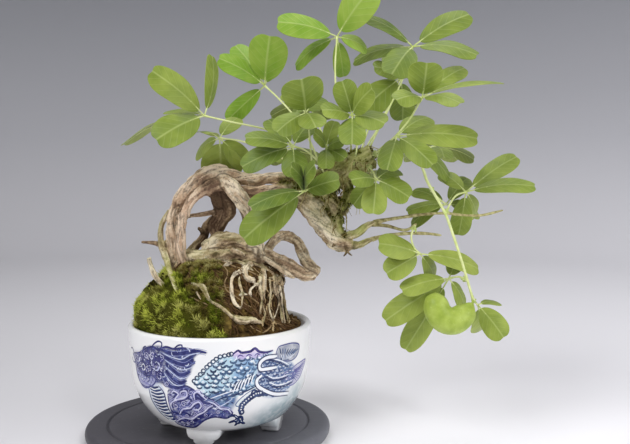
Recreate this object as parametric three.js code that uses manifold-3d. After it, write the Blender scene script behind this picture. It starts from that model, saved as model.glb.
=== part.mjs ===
// Akebia bonsai in a round porcelain pot, on a dark display stand.
// Millimetres, +Z up, the front of the tree faces -Y.
// The origin is under the middle of the stand, where it rests.

import * as THREE from 'three';
import { mergeVertices } from 'three/addons/utils/BufferGeometryUtils.js';
import Module from 'manifold-3d';

const wasm = await Module();
wasm.setup();

// Driving dimensions

const GAP = 0.3;
const ROOM_ROUND_TRUNK = 0.45;
const MERGE_DISTANCE = 1e-4;

const STAND_RADIUS = 71;
const STAND_THICKNESS = 8;
const STAND_SEGMENTS = 44;
const GROOVE_RADIUS = 58.2;
const GROOVE_WIDTH = 1;
const GROOVE_DEPTH = 0.7;

const POT_RIGHT = 8.5;
const POT_FORWARD = 14;
const POT_SEGMENTS = 36;
const POT_FLOOR = 12;
const POT_UNDERSIDE = 7.8;
const DRAIN_HOLE_RADIUS = 5;
const FOOT_COUNT = 4;
const FOOT_FIRST_ANGLE = -100;
const FOOT_INNER_RADIUS = 25;
const FOOT_OUTER_RADIUS = 34.5;
const FOOT_TOP = 10.5;

const MESH_PLATE = 16;
const MESH_THICKNESS = 0.8;
const MESH_HOLE = 3;
const MESH_PITCH = 4.6;

const LEAF_THICKNESS = 0.7;
const STALK_RADIUS = 0.75;
const RUNNER_RADIUS = 0.95;
const KNOT_RADIUS = 1.4;
const ROD_SPACING = 13;
const STALK_SHARE = 0.12;
const LEAFLET_ARCH = 0.09;
const LEAFLET_FOLD = 0.16;

const BARK_ROUGHNESS = 0.09;
const MOSS_THICKNESS = 1.6;
const MOSS_LUMP = 1.1;
const MOSS_GAP = 0.75;

// The place of the eye that sees the tree from its front, measured from the pot's axis
// and from the top of the stand.
const EYE_RIGHT = 53.8;
const EYE_DISTANCE = 494;
const EYE_UP = 154.7;

// Helpers

// A point is given as it is seen against the upright plane through the pot's axis, then moved
// along its line of sight to its real distance behind that plane.
function seen(right, up, back) {
  const reach = 1 + back / EYE_DISTANCE;
  return new THREE.Vector3(
    EYE_RIGHT + (right - EYE_RIGHT) * reach,
    back,
    EYE_UP + (up - EYE_UP) * reach,
  );
}

function seededRandom(seed) {
  let state = seed;
  return () => {
    state = (state * 1664525 + 1013904223) % 4294967296;
    return state / 4294967296;
  };
}

function solidOf(geometry) {
  const bare = geometry.clone();
  bare.deleteAttribute('normal');
  bare.deleteAttribute('uv');
  const merged = mergeVertices(bare, MERGE_DISTANCE);
  return new wasm.Manifold(new wasm.Mesh({
    numProp: 3,
    vertProperties: Float32Array.from(merged.attributes.position.array),
    triVerts: Uint32Array.from(merged.index.array),
  }));
}

function geometryOf(solid) {
  const mesh = solid.getMesh();
  const geometry = new THREE.BufferGeometry();
  geometry.setAttribute('position', new THREE.BufferAttribute(mesh.vertProperties, 3));
  geometry.setIndex(new THREE.BufferAttribute(mesh.triVerts, 1));
  geometry.computeVertexNormals();
  return geometry;
}

function joined(solids) {
  return solids.reduce((whole, piece) => whole.add(piece));
}

function largestPiece(solid) {
  const pieces = solid.decompose();
  return pieces.reduce((best, piece) => (piece.volume() > best.volume() ? piece : best));
}

function meshFrom(points, triangles) {
  const geometry = new THREE.BufferGeometry();
  const coordinates = points.flatMap((point) => [point.x, point.y, point.z]);
  geometry.setAttribute('position', new THREE.Float32BufferAttribute(coordinates, 3));
  geometry.setIndex(triangles);
  return geometry;
}

// A closed skin over rows of points, each row a ring, with a single point at either end.
function ringsToSolid(first, rings, last) {
  const points = [first, ...rings.flat(), last];
  const sides = rings[0].length;
  const triangles = [];
  for (let side = 0; side < sides; side += 1) {
    const next = (side + 1) % sides;
    triangles.push(0, 1 + next, 1 + side);
    for (let ring = 0; ring + 1 < rings.length; ring += 1) {
      const here = 1 + ring * sides;
      const above = here + sides;
      triangles.push(here + side, here + next, above + next);
      triangles.push(here + side, above + next, above + side);
    }
    const top = 1 + (rings.length - 1) * sides;
    triangles.push(top + side, top + next, points.length - 1);
  }
  return solidOf(meshFrom(points, triangles));
}

// A limb follows its points, each [right, up, back, radius], with a knobbly skin.
function limb(points, { sides = 7, spacing = 5, grow = 0, seed = 1, rough = BARK_ROUGHNESS }) {
  const curve = new THREE.CatmullRomCurve3(points.map(([right, up, back]) => seen(right, up, back)));
  const steps = Math.max(2, Math.round(curve.getLength() / spacing));
  const frames = curve.computeFrenetFrames(steps, false);
  const random = seededRandom(seed);
  const rings = [];
  for (let step = 0; step <= steps; step += 1) {
    const along = (step / steps) * (points.length - 1);
    const before = Math.min(Math.floor(along), points.length - 2);
    const radius = THREE.MathUtils.lerp(points[before][3], points[before + 1][3], along - before);
    const centre = curve.getPoint(step / steps);
    if (step === 0 || step === steps) {
      centre.addScaledVector(frames.tangents[step], step === 0 ? -grow : grow);
    }
    const ring = [];
    for (let side = 0; side < sides; side += 1) {
      const angle = (side / sides) * Math.PI * 2;
      const reach = radius * (1 + rough * (random() * 2 - 1)) + grow;
      ring.push(centre.clone()
        .addScaledVector(frames.normals[step], Math.cos(angle) * reach)
        .addScaledVector(frames.binormals[step], Math.sin(angle) * reach));
    }
    rings.push(ring);
  }
  const middle = (ring) => ring.reduce((sum, point) => sum.add(point), new THREE.Vector3())
    .divideScalar(sides);
  return ringsToSolid(middle(rings[0]), rings, middle(rings[steps]));
}

// Display stand: a thick round plate with a turned groove

function displayStand() {
  const inner = GROOVE_RADIUS - GROOVE_WIDTH / 2;
  const outer = GROOVE_RADIUS + GROOVE_WIDTH / 2;
  const profile = [
    [0, 0], [STAND_RADIUS - 4, 0], [STAND_RADIUS - 1, 1.4], [STAND_RADIUS, 4.4],
    [STAND_RADIUS - 0.7, 6.8], [STAND_RADIUS - 2.4, STAND_THICKNESS],
    [outer, STAND_THICKNESS], [outer - 0.2, STAND_THICKNESS - GROOVE_DEPTH],
    [inner + 0.2, STAND_THICKNESS - GROOVE_DEPTH], [inner, STAND_THICKNESS],
    [0, STAND_THICKNESS],
  ];
  return lathe(profile, STAND_SEGMENTS);
}

function lathe(profile, segments) {
  const points = profile.map(([radius, up]) => new THREE.Vector2(radius, up));
  const geometry = new THREE.LatheGeometry(points, segments);
  geometry.rotateX(Math.PI / 2);
  return solidOf(geometry);
}

// Pot: a deep round bowl with a drainage hole and four cloud-shaped feet

const POT_OUTSIDE = [
  [33, POT_UNDERSIDE], [37.6, 10.4], [42.4, 16], [46.4, 22.8], [49, 31], [50.4, 44], [51.3, 58],
  [51.2, 60.6], [50.3, 61.5],
];
const POT_INSIDE = [
  [48.6, 61.5], [47.6, 60.2], [46.6, 44], [45, 30], [40.6, 20.4], [34, 14.4], [27, POT_FLOOR],
];

function pot() {
  const hole = DRAIN_HOLE_RADIUS;
  const profile = [
    [hole, POT_FLOOR], [hole, POT_UNDERSIDE], ...POT_OUTSIDE, ...POT_INSIDE, [hole, POT_FLOOR],
  ];
  const bowl = lathe(profile, POT_SEGMENTS);
  const feet = [];
  for (let foot = 0; foot < FOOT_COUNT; foot += 1) {
    feet.push(potFoot(FOOT_FIRST_ANGLE + (foot * 360) / FOOT_COUNT));
  }
  const inside = lathe([[0, POT_FLOOR], ...[...POT_INSIDE].reverse(), [0, 62]], POT_SEGMENTS);
  return joined([bowl, ...feet.map((foot) => foot.subtract(inside))]);
}

// One foot seen from outside: lobes step in from a wide top to a narrow sole.
function potFoot(angle) {
  const sole = 3.2;
  const outline = new THREE.Shape();
  outline.moveTo(-sole, GAP);
  outline.lineTo(sole, GAP);
  outline.quadraticCurveTo(5.4, 1.6, 5.6, 3.2);
  outline.quadraticCurveTo(8.6, 3.6, 9.4, 6.6);
  outline.lineTo(9.8, FOOT_TOP);
  outline.lineTo(-9.8, FOOT_TOP);
  outline.lineTo(-9.4, 6.6);
  outline.quadraticCurveTo(-8.6, 3.6, -5.6, 3.2);
  outline.quadraticCurveTo(-5.4, 1.6, -sole, GAP);
  const depth = FOOT_OUTER_RADIUS - FOOT_INNER_RADIUS;
  const geometry = new THREE.ExtrudeGeometry(outline, { depth, bevelEnabled: false, curveSegments: 3 });
  geometry.rotateX(Math.PI / 2);
  geometry.translate(0, -FOOT_INNER_RADIUS, 0);
  geometry.rotateZ(THREE.MathUtils.degToRad(angle + 90));
  return solidOf(geometry);
}

// Drainage mesh over the hole in the pot's floor

function drainageMesh() {
  let plate = boxSolid(MESH_PLATE, MESH_THICKNESS, 0, 0, POT_FLOOR + GAP + MESH_THICKNESS / 2);
  for (let column = -1; column <= 1; column += 1) {
    for (let row = -1; row <= 1; row += 1) {
      const hole = boxSolid(MESH_HOLE, 4 * MESH_THICKNESS, column * MESH_PITCH, row * MESH_PITCH, POT_FLOOR);
      plate = plate.subtract(hole);
    }
  }
  return plate;
}

// A square block, given its width, its height and its middle.
function boxSolid(width, height, x, y, z) {
  const geometry = new THREE.BoxGeometry(width, width, height);
  geometry.translate(x, y, z);
  return solidOf(geometry);
}

// Root ball: it fills the pot and stands above the rim as a steep mound

// Outlines of the mound as [radius, height] towards each side, from the rim to the crown.
const MOUND_SIDES = [
  { angle: 0, outline: [[46, 60], [40, 62.5], [36, 67], [35, 78], [36, 86], [29, 94]] },
  { angle: 90, outline: [[45, 60], [41, 64], [38, 71], [36, 80], [32, 88], [22, 94.5]] },
  { angle: 180, outline: [[45.4, 60], [45.2, 70], [41, 77], [33, 84.5], [27.5, 90], [20, 95]] },
  { angle: 270, outline: [[45, 60], [42, 66], [38, 74], [33, 82], [27, 89], [20, 95]] },
];
const MOUND_CROWN = 96.5;

function moundOutline(angle) {
  const blended = MOUND_SIDES[0].outline.map(() => [0, 0]);
  MOUND_SIDES.forEach((side) => {
    const turn = Math.cos(angle - THREE.MathUtils.degToRad(side.angle));
    const weight = Math.max(0, turn) ** 2;
    side.outline.forEach(([radius, up], row) => {
      blended[row][0] += radius * weight;
      blended[row][1] += up * weight;
    });
  });
  return blended.map(([radius, up], row) => {
    const lump = Math.sin(angle * 7 + row * 2.1) * 0.5 + Math.sin(angle * 3 - row * 1.3) * 0.5;
    return [row === 0 ? radius : radius + lump, up];
  });
}

function moundRadius(angle, up) {
  const outline = moundOutline(angle);
  const [crownRadius, crownUp] = outline[outline.length - 1];
  if (up > MOUND_CROWN) return 0;
  if (up > crownUp) return THREE.MathUtils.mapLinear(up, crownUp, MOUND_CROWN, crownRadius, 0);
  for (let row = outline.length - 2; row >= 0; row -= 1) {
    const [lowRadius, low] = outline[row];
    const [highRadius, high] = outline[row + 1];
    if (up >= low) return THREE.MathUtils.mapLinear(up, low, high, lowRadius, highRadius);
  }
  return outline[0][0];
}

function around(angle, radius, up) {
  return new THREE.Vector3(Math.cos(angle) * radius, Math.sin(angle) * radius, up);
}

function soil() {
  const rows = [
    ...[...POT_INSIDE].reverse().map(([radius, up]) => [radius - GAP, Math.min(up + GAP, 59.6)]),
  ].slice(0, -1);
  const buried = rows.map(([radius, up]) => ringAt(() => [radius, up]));
  const mound = MOUND_SIDES[0].outline.map((_, row) => ringAt((angle) => moundOutline(angle)[row]));
  const bottom = new THREE.Vector3(0, 0, POT_FLOOR + GAP);
  const ball = ringsToSolid(bottom, [...buried, ...mound], new THREE.Vector3(0, 0, MOUND_CROWN));
  return ball.subtract(meshRoom());
}

function ringAt(outlineAt) {
  const ring = [];
  for (let segment = 0; segment < POT_SEGMENTS; segment += 1) {
    const angle = (segment / POT_SEGMENTS) * Math.PI * 2;
    const [radius, up] = outlineAt(angle);
    ring.push(around(angle, radius, up));
  }
  return ring;
}

function meshRoom() {
  const top = POT_FLOOR + MESH_THICKNESS + 2 * GAP;
  const height = MESH_THICKNESS + 2 * GAP + 1;
  return boxSolid(MESH_PLATE + 2 * GAP, height, 0, 0, top - height / 2);
}

// Moss: a cushion that lies on the left and the front of the mound

const MOSS_FIRST_SEGMENT = 12;
const MOSS_LAST_SEGMENT = 28.4;
const MOSS_SLANT = 1.35;
const MOSS_COLUMNS = 18;
const MOSS_ROWS = 5;
const MOSS_RIM_SHARE = 0.4;

function onOutline(segment, row) {
  const angle = (segment / POT_SEGMENTS) * Math.PI * 2;
  return around(angle, ...moundOutline(angle)[row]);
}

function moundNormal(segment, row) {
  const last = MOUND_SIDES[0].outline.length - 1;
  const aroundStep = onOutline(segment + 1, row).sub(onOutline(segment - 1, row));
  const upStep = onOutline(segment, Math.min(row + 1, last))
    .sub(onOutline(segment, Math.max(row - 1, 0)));
  return aroundStep.cross(upStep).normalize();
}

// The cushion ends along a slope: each higher row stops further to the left.
function moss() {
  const skin = { inner: [], outer: [] };
  for (let column = 0; column < MOSS_COLUMNS; column += 1) {
    for (let row = 0; row < MOSS_ROWS; row += 1) {
      const lastSegment = MOSS_LAST_SEGMENT - MOSS_SLANT * row;
      const share = column / (MOSS_COLUMNS - 1);
      const segment = THREE.MathUtils.lerp(MOSS_FIRST_SEGMENT, lastSegment, share);
      const base = onOutline(segment, row);
      const normal = moundNormal(segment, row);
      const lump = Math.sin(column * 2.4 + row * 1.7) * 0.5 + 0.5;
      const thickness = (MOSS_THICKNESS + MOSS_LUMP * lump) * (row === 0 ? MOSS_RIM_SHARE : 1);
      skin.inner.push(base.clone().addScaledVector(normal, MOSS_GAP));
      skin.outer.push(base.clone().addScaledVector(normal, MOSS_GAP + thickness));
    }
  }
  return solidOf(sheetGeometry(skin, MOSS_COLUMNS, MOSS_ROWS));
}

function sheetGeometry({ inner, outer }, columns, rows) {
  const points = [...outer, ...inner];
  const under = outer.length;
  const triangles = [];
  const quad = (a, b, c, d) => triangles.push(a, b, c, a, c, d);
  const at = (column, row) => column * rows + row;
  for (let column = 0; column + 1 < columns; column += 1) {
    for (let row = 0; row + 1 < rows; row += 1) {
      const corners = [at(column, row), at(column + 1, row), at(column + 1, row + 1), at(column, row + 1)];
      quad(...corners);
      const [a, b, c, d] = corners.map((corner) => corner + under);
      triangles.push(a, c, b, a, d, c);
    }
    const low = [at(column, 0), at(column + 1, 0)];
    const high = [at(column, rows - 1), at(column + 1, rows - 1)];
    quad(low[1], low[0], low[0] + under, low[1] + under);
    quad(high[0], high[1], high[1] + under, high[0] + under);
  }
  for (let row = 0; row + 1 < rows; row += 1) {
    const first = [at(0, row), at(0, row + 1)];
    const last = [at(columns - 1, row), at(columns - 1, row + 1)];
    quad(first[0], first[1], first[1] + under, first[0] + under);
    quad(last[1], last[0], last[0] + under, last[1] + under);
  }
  return meshFrom(points, triangles);
}

// Trunk: twisted strands that rise from the mound, arch over and reach to the right.
// Each point is [right, up, back, radius].

const STRANDS = [
  { name: 'outer column and arch', sides: 7, spacing: 7, points: [
    [-21, 84, 3, 4.8], [-26, 95, 3, 4.4], [-26, 107, 1, 4.1], [-26, 119, 0, 4], [-23, 127.5, -1, 4],
    [-17, 136.5, -3, 4.1], [-9, 143, -5, 4.3], [-1, 145, -5, 4.3], [5.5, 144, -3, 4],
    [11.5, 142.5, 0, 3.6], [20.5, 141, 3, 3.5], [29.5, 142.5, 4, 3.6], [40, 141, 2, 4],
    [48, 139, 0, 4.6]] },
  { name: 'inner strand', sides: 6, spacing: 7, points: [
    [-19, 88, -3, 3], [-22, 100.5, -4, 2.7], [-21.5, 111, -5, 2.5], [-20, 121, -6, 2.5],
    [-15, 130, -8, 2.6], [-7.5, 135.5, -9, 3.2], [0, 138.5, -9, 3.6], [7, 137.5, -8, 3.4],
    [15, 134, -4, 3], [24, 133.5, -3, 3], [34, 135.5, -2, 3.2], [46, 136, -2, 4]] },
  { name: 'left surface root', sides: 5, spacing: 7, points: [
    [-28, 124, 2, 1.2], [-32.5, 116, 3, 1.7], [-33, 106, 1, 1.9], [-29.5, 96, -4, 1.9],
    [-27.5, 87.5, -8, 1.8], [-25, 77, -14, 1.4]] },
  { name: 'short dead twig', sides: 5, spacing: 4, points: [
    [-43, 106, 6, 0.8], [-38, 105.5, 4, 1.2], [-31, 104.5, 1, 1.5]] },
  { name: 'free root at the left', sides: 5, spacing: 6, points: [
    [-40, 97.5, -18, 1.3], [-39, 93, -18, 1.5], [-35, 85, -19, 1.5], [-28, 78, -16, 1.5],
    [-22, 75, -10, 1.4]] },
  { name: 'burl', sides: 8, spacing: 4, points: [
    [-9, 143, -4, 4.2], [-4, 138.5, -3, 5.6], [-1, 132.5, -1, 4.4], [0, 128, 2, 3.6]] },
  { name: 'strong front strand', sides: 7, spacing: 6.5, points: [
    [2, 141, -8, 3.6], [6, 138.5, -11, 4.6], [10.5, 133, -12, 4.5], [15, 126.5, -11, 4.1],
    [19.5, 117, -10, 3.8], [21.5, 107.5, -8, 3.6], [21, 95, -6, 3.8]] },
  { name: 'dark strand', sides: 6, spacing: 6, points: [
    [-2, 135, -1, 3.6], [0.5, 126.5, 4, 3.8], [0, 120.5, 7, 3.7], [-3, 116, 9, 3.1],
    [-2, 109.5, 8, 2.8], [2, 104, 5, 2.8], [7, 95, 2, 3.4]] },
  { name: 'thin cross strand', sides: 5, spacing: 5, points: [
    [-24, 120, -2, 1.2], [-10, 122, 0, 1.4], [0, 123.5, 5, 1.6]] },
  { name: 'lower left strand', sides: 5, spacing: 7, points: [
    [-2, 121, 8, 2.2], [-7.5, 114.5, 12, 2.4], [-9, 109, 12, 2.5], [-14, 103.5, 8, 2.7],
    [-20, 96, 3, 3]] },
  { name: 'knot', sides: 5, spacing: 2, points: [
    [-8, 110, 12, 1.6], [-12, 114.5, 10, 1]] },
  { name: 'back strand', sides: 7, spacing: 6, points: [
    [2, 138, 0, 3.2], [12, 129, 10, 3.4], [17, 118, 16, 3.2], [19, 106, 18, 3.2],
    [17, 90, 17, 3.4]] },
  { name: 'loop, upper half', sides: 6, spacing: 6, points: [
    [22, 96, 0, 2.8], [28, 104, 1, 2.6], [33, 109.5, 3, 2.9], [39, 109.5, 5, 3.1], [44, 106, 4, 3.1],
    [46, 101.5, 2, 3.1], [48.5, 95.5, -2, 3.2], [52.5, 91, -5, 3.4], [56, 89, -6.5, 2.8]] },
  { name: 'loop, lower half', sides: 6, spacing: 6, points: [
    [18, 103, -3, 3], [26, 100.5, -6, 2.9], [31, 97.5, -8, 3.1], [37, 94, -9, 3.4],
    [43, 90, -9, 3.5], [48.5, 87, -8, 3.4], [54, 87, -6.5, 3]] },
  { name: 'mossy limb', sides: 8, spacing: 8, points: [
    [38, 138, 1, 4.4], [47, 136.5, -2, 6.2], [56.5, 140, -4, 7.2], [66, 144.5, -7, 7.4],
    [74, 148.5, -9, 7.4], [80, 151.5, -11, 7.2], [86.5, 154, -12, 6.6]] },
  { name: 'broken limb', sides: 7, spacing: 6.5, points: [
    [43, 136, -1, 5.2], [48.5, 128.5, -3, 5.8], [55, 120, -6, 6], [61.5, 112, -9, 5.6],
    [67, 106, -11, 5], [74, 104.5, -12, 3]] },
  { name: 'moss that hangs from the limb', sides: 5, spacing: 7, points: [
    [70, 143, -8, 4.5], [72.5, 134, -8, 3.4], [70, 127, -8, 2.6], [66, 120, -9, 2.4],
    [63, 113, -9, 2.4]] },
  { name: 'upper twig', sides: 4, spacing: 11, points: [
    [66, 108, -10, 2.4], [77, 111, -12, 2.4], [84, 116, -12, 1.7], [92.5, 118.5, -12, 1.1],
    [104.5, 120.5, -12, 0.9], [116, 122, -11, 0.8], [127.5, 122.5, -9, 0.8], [136, 121.5, -7, 0.7],
    [147, 121.3, -6, 0.7], [159.5, 124.2, -6, 0.6]] },
  { name: 'middle twig', sides: 4, spacing: 9, points: [
    [84, 116, -12, 1], [94, 115.5, -12.5, 0.9], [104.5, 113, -14, 0.8], [111, 116.5, -15, 0.7]] },
  { name: 'lower twig', sides: 4, spacing: 11, points: [
    [68, 105, -11, 2.6], [77, 104.5, -12.5, 2.2], [85, 107.5, -13, 1.5], [92.5, 109.5, -14, 1.1],
    [104.5, 111, -14, 1], [116.5, 111, -12, 0.8], [125, 110, -9, 0.7]] },
  { name: 'gnarled heart', sides: 7, spacing: 5, points: [
    [-9, 102, 5, 4], [-1, 106, 3, 4.8], [7, 106.5, -2, 5], [14, 105, -5, 4.8], [19, 102, -6, 4]] },
  { name: 'root base, front', sides: 8, spacing: 9, points: [
    [-24, 97, 4, 3.6], [-14, 97, 1, 4.8], [-3, 96, -3, 6], [8, 96, -5, 6.4], [18, 97, -5, 6.2],
    [27, 98, -4, 4.2]] },
  { name: 'root base, back', sides: 8, spacing: 8, points: [
    [-18, 95, 8, 4], [-6, 95, 12, 5.4], [8, 95, 14, 6], [20, 94, 13, 5], [26, 92, 8, 3.6]] },
];

// Roots that creep over the mound, seen from the front: each point is [right, up, radius].
const SURFACE_ROOTS = [
  [[12, 97, 1.4], [11, 90.5, 1.2], [7, 87, 1.1], [5.5, 81, 1], [6, 74.5, 1], [7.5, 69, 0.9], [12, 67.5, 0.8]],
  [[20, 98, 2], [18, 94.5, 1.9], [15.5, 91, 1.7], [15, 87, 1.5], [16, 83, 1.3]],
  [[21.5, 98, 1.8], [23.5, 93, 1.5], [25, 88, 1.4], [25, 81, 1.2], [24.5, 74.5, 0.9]],
  [[23, 98, 1.6], [27, 87, 1.3], [28.5, 80, 1.2], [30, 74.5, 1.1], [32, 68.5, 1], [33, 62, 0.9]],
  [[25, 98, 1.7], [28, 93, 1.4], [31, 89, 1.2], [33, 84, 1]],
  [[-16, 98, 1.7], [-18, 87, 1.5], [-14.5, 81.5, 1.5], [-10.5, 80, 1.5], [-6.5, 73, 1.4], [0, 69.5, 1.6],
    [7.5, 63, 1.8], [11, 60.5, 1.6]],
  [[4, 66, 1.6], [9, 62.5, 2.1], [20, 61.5, 1.8]],
];
// How far back the top of a root is led into the foot of the trunk, and how deep its end is sunk.
const ROOT_JOIN = 7;
const ROOT_SINK = 2.5;

// The nearest point of the mound on the line of sight through a point of the front view.
function onMound(right, up) {
  const step = 0.5;
  for (let back = -60; back < 20; back += step) {
    const point = seen(right, up, back);
    const radius = Math.hypot(point.x, point.y);
    if (radius < moundRadius(Math.atan2(point.y, point.x), point.z)) return back;
  }
  return -10;
}

function surfaceRoot(points) {
  const laid = points.map(([right, up, radius]) => [right, up, onMound(right, up), radius]);
  const first = laid[0];
  const [before, last] = laid.slice(-2);
  first[2] += ROOT_JOIN;
  const end = [
    last[0] + (last[0] - before[0]) * 0.5,
    last[1] + (last[1] - before[1]) * 0.5,
    last[2] + ROOT_SINK,
    last[3],
  ];
  return [...laid, end];
}

function trunk(grow) {
  const strands = STRANDS.map((strand, index) => limb(
    strand.points,
    { sides: strand.sides, spacing: strand.spacing, grow, seed: index + 1 },
  ));
  const roots = SURFACE_ROOTS.map((points, index) => limb(
    surfaceRoot(points),
    { sides: 4, spacing: 8, grow, seed: 100 + index },
  ));
  return joined([...strands, ...roots]);
}

// Leaves: five leaflets that spread from the end of a slender stalk.
// A stalk point is [right, up, back]. A leaflet is the place of its tip, its width, how far its
// upper face turns to the front and, where it needs it, to the right, in degrees.

const LEAVES = {
  leaf_far_left: {
    stalk: [[47, 139, -2], [43, 152, 0], [38, 164, 0], [26, 169.5, -5], [7.5, 173.5, -12], [-8, 177, -16]],
    leaflets: [[-38, 202.5, -30, 16, 60], [-54.5, 160, 6, 13, 4], [-36, 163, -34, 18, 70],
      [-30, 179, -2, 10, 20], [-3.5, 211, -8, 12, 30, 55]],
  },
  leaf_high_left: {
    stalk: [[58, 141, 1], [54, 156, 6], [47, 170, 9], [40, 179.5, 12], [32, 188, 15], [25.8, 193.6, 18]],
    leaflets: [[29, 222, 4, 22, 70], [-0.5, 209, 6, 13, 60], [4.5, 174, 24, 11, 60, 30],
      [33, 206, 34, 9, 40], [9, 216, 38, 13, 60]],
  },
  leaf_top: {
    stalk: [[73, 149, -6], [74, 163, -5], [72.5, 175, -4], [66.5, 185, -2], [65, 202.5, 2], [66, 220.5, 6]],
    leaflets: [[86.5, 249, -6, 20, 70], [32, 228.5, -2, 16, 60], [42.5, 203.5, 20, 12, 50],
      [69.5, 198, 22, 10, 70], [83, 213.5, 14, 12, 50]],
  },
  leaf_front_left: {
    stalk: [[54, 141, -9], [52, 152, -14], [51, 163.5, -18], [50, 172, -22], [48.5, 178.5, -25]],
    leaflets: [[46, 198, -40, 22, 60], [32, 167.5, -36, 14, 55], [57.5, 187.5, -14, 14, 50],
      [54.5, 170, -48, 14, 55], [38, 190, -4, 12, 40]],
  },
  leaf_over_arch: {
    stalk: [[42, 141, 2], [37, 152, 2], [24, 159, 1], [12, 163, 0], [0.5, 164.5, -2]],
    leaflets: [[2, 141, 9, 23, 85], [-13, 154.5, 12, 12, 50], [16, 149, 9, 13, 70], [-11, 168, -18, 11, 8],
      [11, 176, 12, 11, 40]],
  },
  leaf_mid_left: {
    stalk: [[60, 143, -10], [55, 152, -15], [48, 158, -19], [41.5, 160, -20]],
    leaflets: [[14, 164.5, -30, 11, 50], [12, 148, -26, 13, 60], [43, 142.5, -28, 14, 75],
      [52, 173, -4, 11, 40], [27, 175, -4, 11, 40]],
  },
  leaf_young: {
    stalk: [[66, 146, -11], [63, 154, -13], [60, 159, -14]],
    leaflets: [[71, 163.5, -22, 9, 50], [60, 147, -30, 9, 75], [65, 174.5, -10, 9, 40],
      [53, 168, -26, 8, 60], [71, 153, -26, 8, 70]],
  },
  leaf_before_trunk: {
    stalk: [[57, 137, -8], [54, 137.5, -17], [48, 135, -22]],
    leaflets: [[16.5, 125.5, -38, 13, 40], [12.5, 107, -26, 18, 70], [54, 150, -46, 11, 60],
      [68, 141.5, -34, 12, 70], [40, 149, -44, 10, 60]],
  },
  leaf_high_right: {
    stalk: [[82, 154, -7], [87, 165, -2], [93.5, 178, 2], [102, 196, 8], [108, 215, 10]],
    leaflets: [[80, 231.5, 4, 11, 40], [74.5, 206.5, 28, 12, 50], [140, 233, 24, 15, 60],
      [145, 210, -8, 13, 40], [96, 199, -14, 17, 65]],
  },
  leaf_right: {
    stalk: [[86, 155, -15], [92, 160, -17], [98.5, 165.5, -18], [106.5, 175, -19], [113.5, 187, -20]],
    leaflets: [[116, 207, -30, 18, 75], [98.5, 185.5, -34, 13, 50], [159, 195, -6, 12, 12],
      [135.5, 183.5, -44, 12, 40], [137.5, 203.5, 6, 11, 60]],
  },
  leaf_mid_right: {
    stalk: [[78.5, 150, -6], [83.5, 161, 2], [89, 170, 8], [94.5, 182, 14], [101.5, 198, 20]],
    leaflets: [[79.5, 179, 14, 17, 70], [94.5, 211, 36, 12, 60], [102.5, 174, 36, 15, 60],
      [123.5, 194.5, 38, 13, 50], [86, 204, 10, 13, 50]],
  },
  leaf_centre: {
    stalk: [[75, 149, -14], [77, 158, -18], [77, 168, -22], [74.5, 177, -24]],
    leaflets: [[68.5, 197, -30, 13, 70], [86, 192.5, -40, 14, 60], [93.5, 172.5, -36, 14, 50],
      [74.5, 160.5, -42, 14, 70],
      [57, 180, -34, 12, 50]],
  },
  leaf_below_limb: {
    stalk: [[83, 150, -16], [86.5, 145.5, -20], [88, 141.5, -22]],
    leaflets: [[86.5, 121.5, -32, 13.5, 80], [107.5, 131, -28, 13, 65], [100.5, 147, -6, 12, 40],
      [75, 126.5, -18, 11, 60], [73.5, 141, -36, 11, 60]],
  },
  leaf_low_right: {
    stalk: [[110, 115.8, -14.8], [108, 109.5, -16], [109.5, 103.5, -14], [113, 99.5, -12]],
    leaflets: [[89, 105.5, -22, 14, 60], [93.5, 88, -18, 14, 70], [147, 90.5, -4, 13, 45],
      [121, 85, 5, 11, 60], [97, 97, -2, 11, 60]],
  },
};

// Leaves at the back of the tree, each spread evenly round the end of its stalk.
const BACK_LEAVES = {
  leaf_back_left: { stalk: [[49, 139, 3], [45, 150, 24], [40, 158, 42]], heading: 125 },
  leaf_back_upper: { stalk: [[64, 144, 0], [59, 164, 20], [50, 184, 38]], heading: 115 },
  leaf_back_lower: { stalk: [[70, 145, -1], [76, 148, 28], [82, 146, 50]], heading: 85 },
  leaf_back_high: { stalk: [[77, 150, -4], [84, 171, 26], [90, 189, 54]], heading: 72 },
  leaf_back_right: { stalk: [[83, 153, -5], [104, 158, 18], [122, 160, 38]], heading: 50 },
};
const BACK_LEAFLET_LENGTH = 25;
const BACK_LEAFLET_WIDTH = 13;
const BACK_LEAFLET_DROOP = 0.35;
const BACK_FACE_LEAN = -35;

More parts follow.
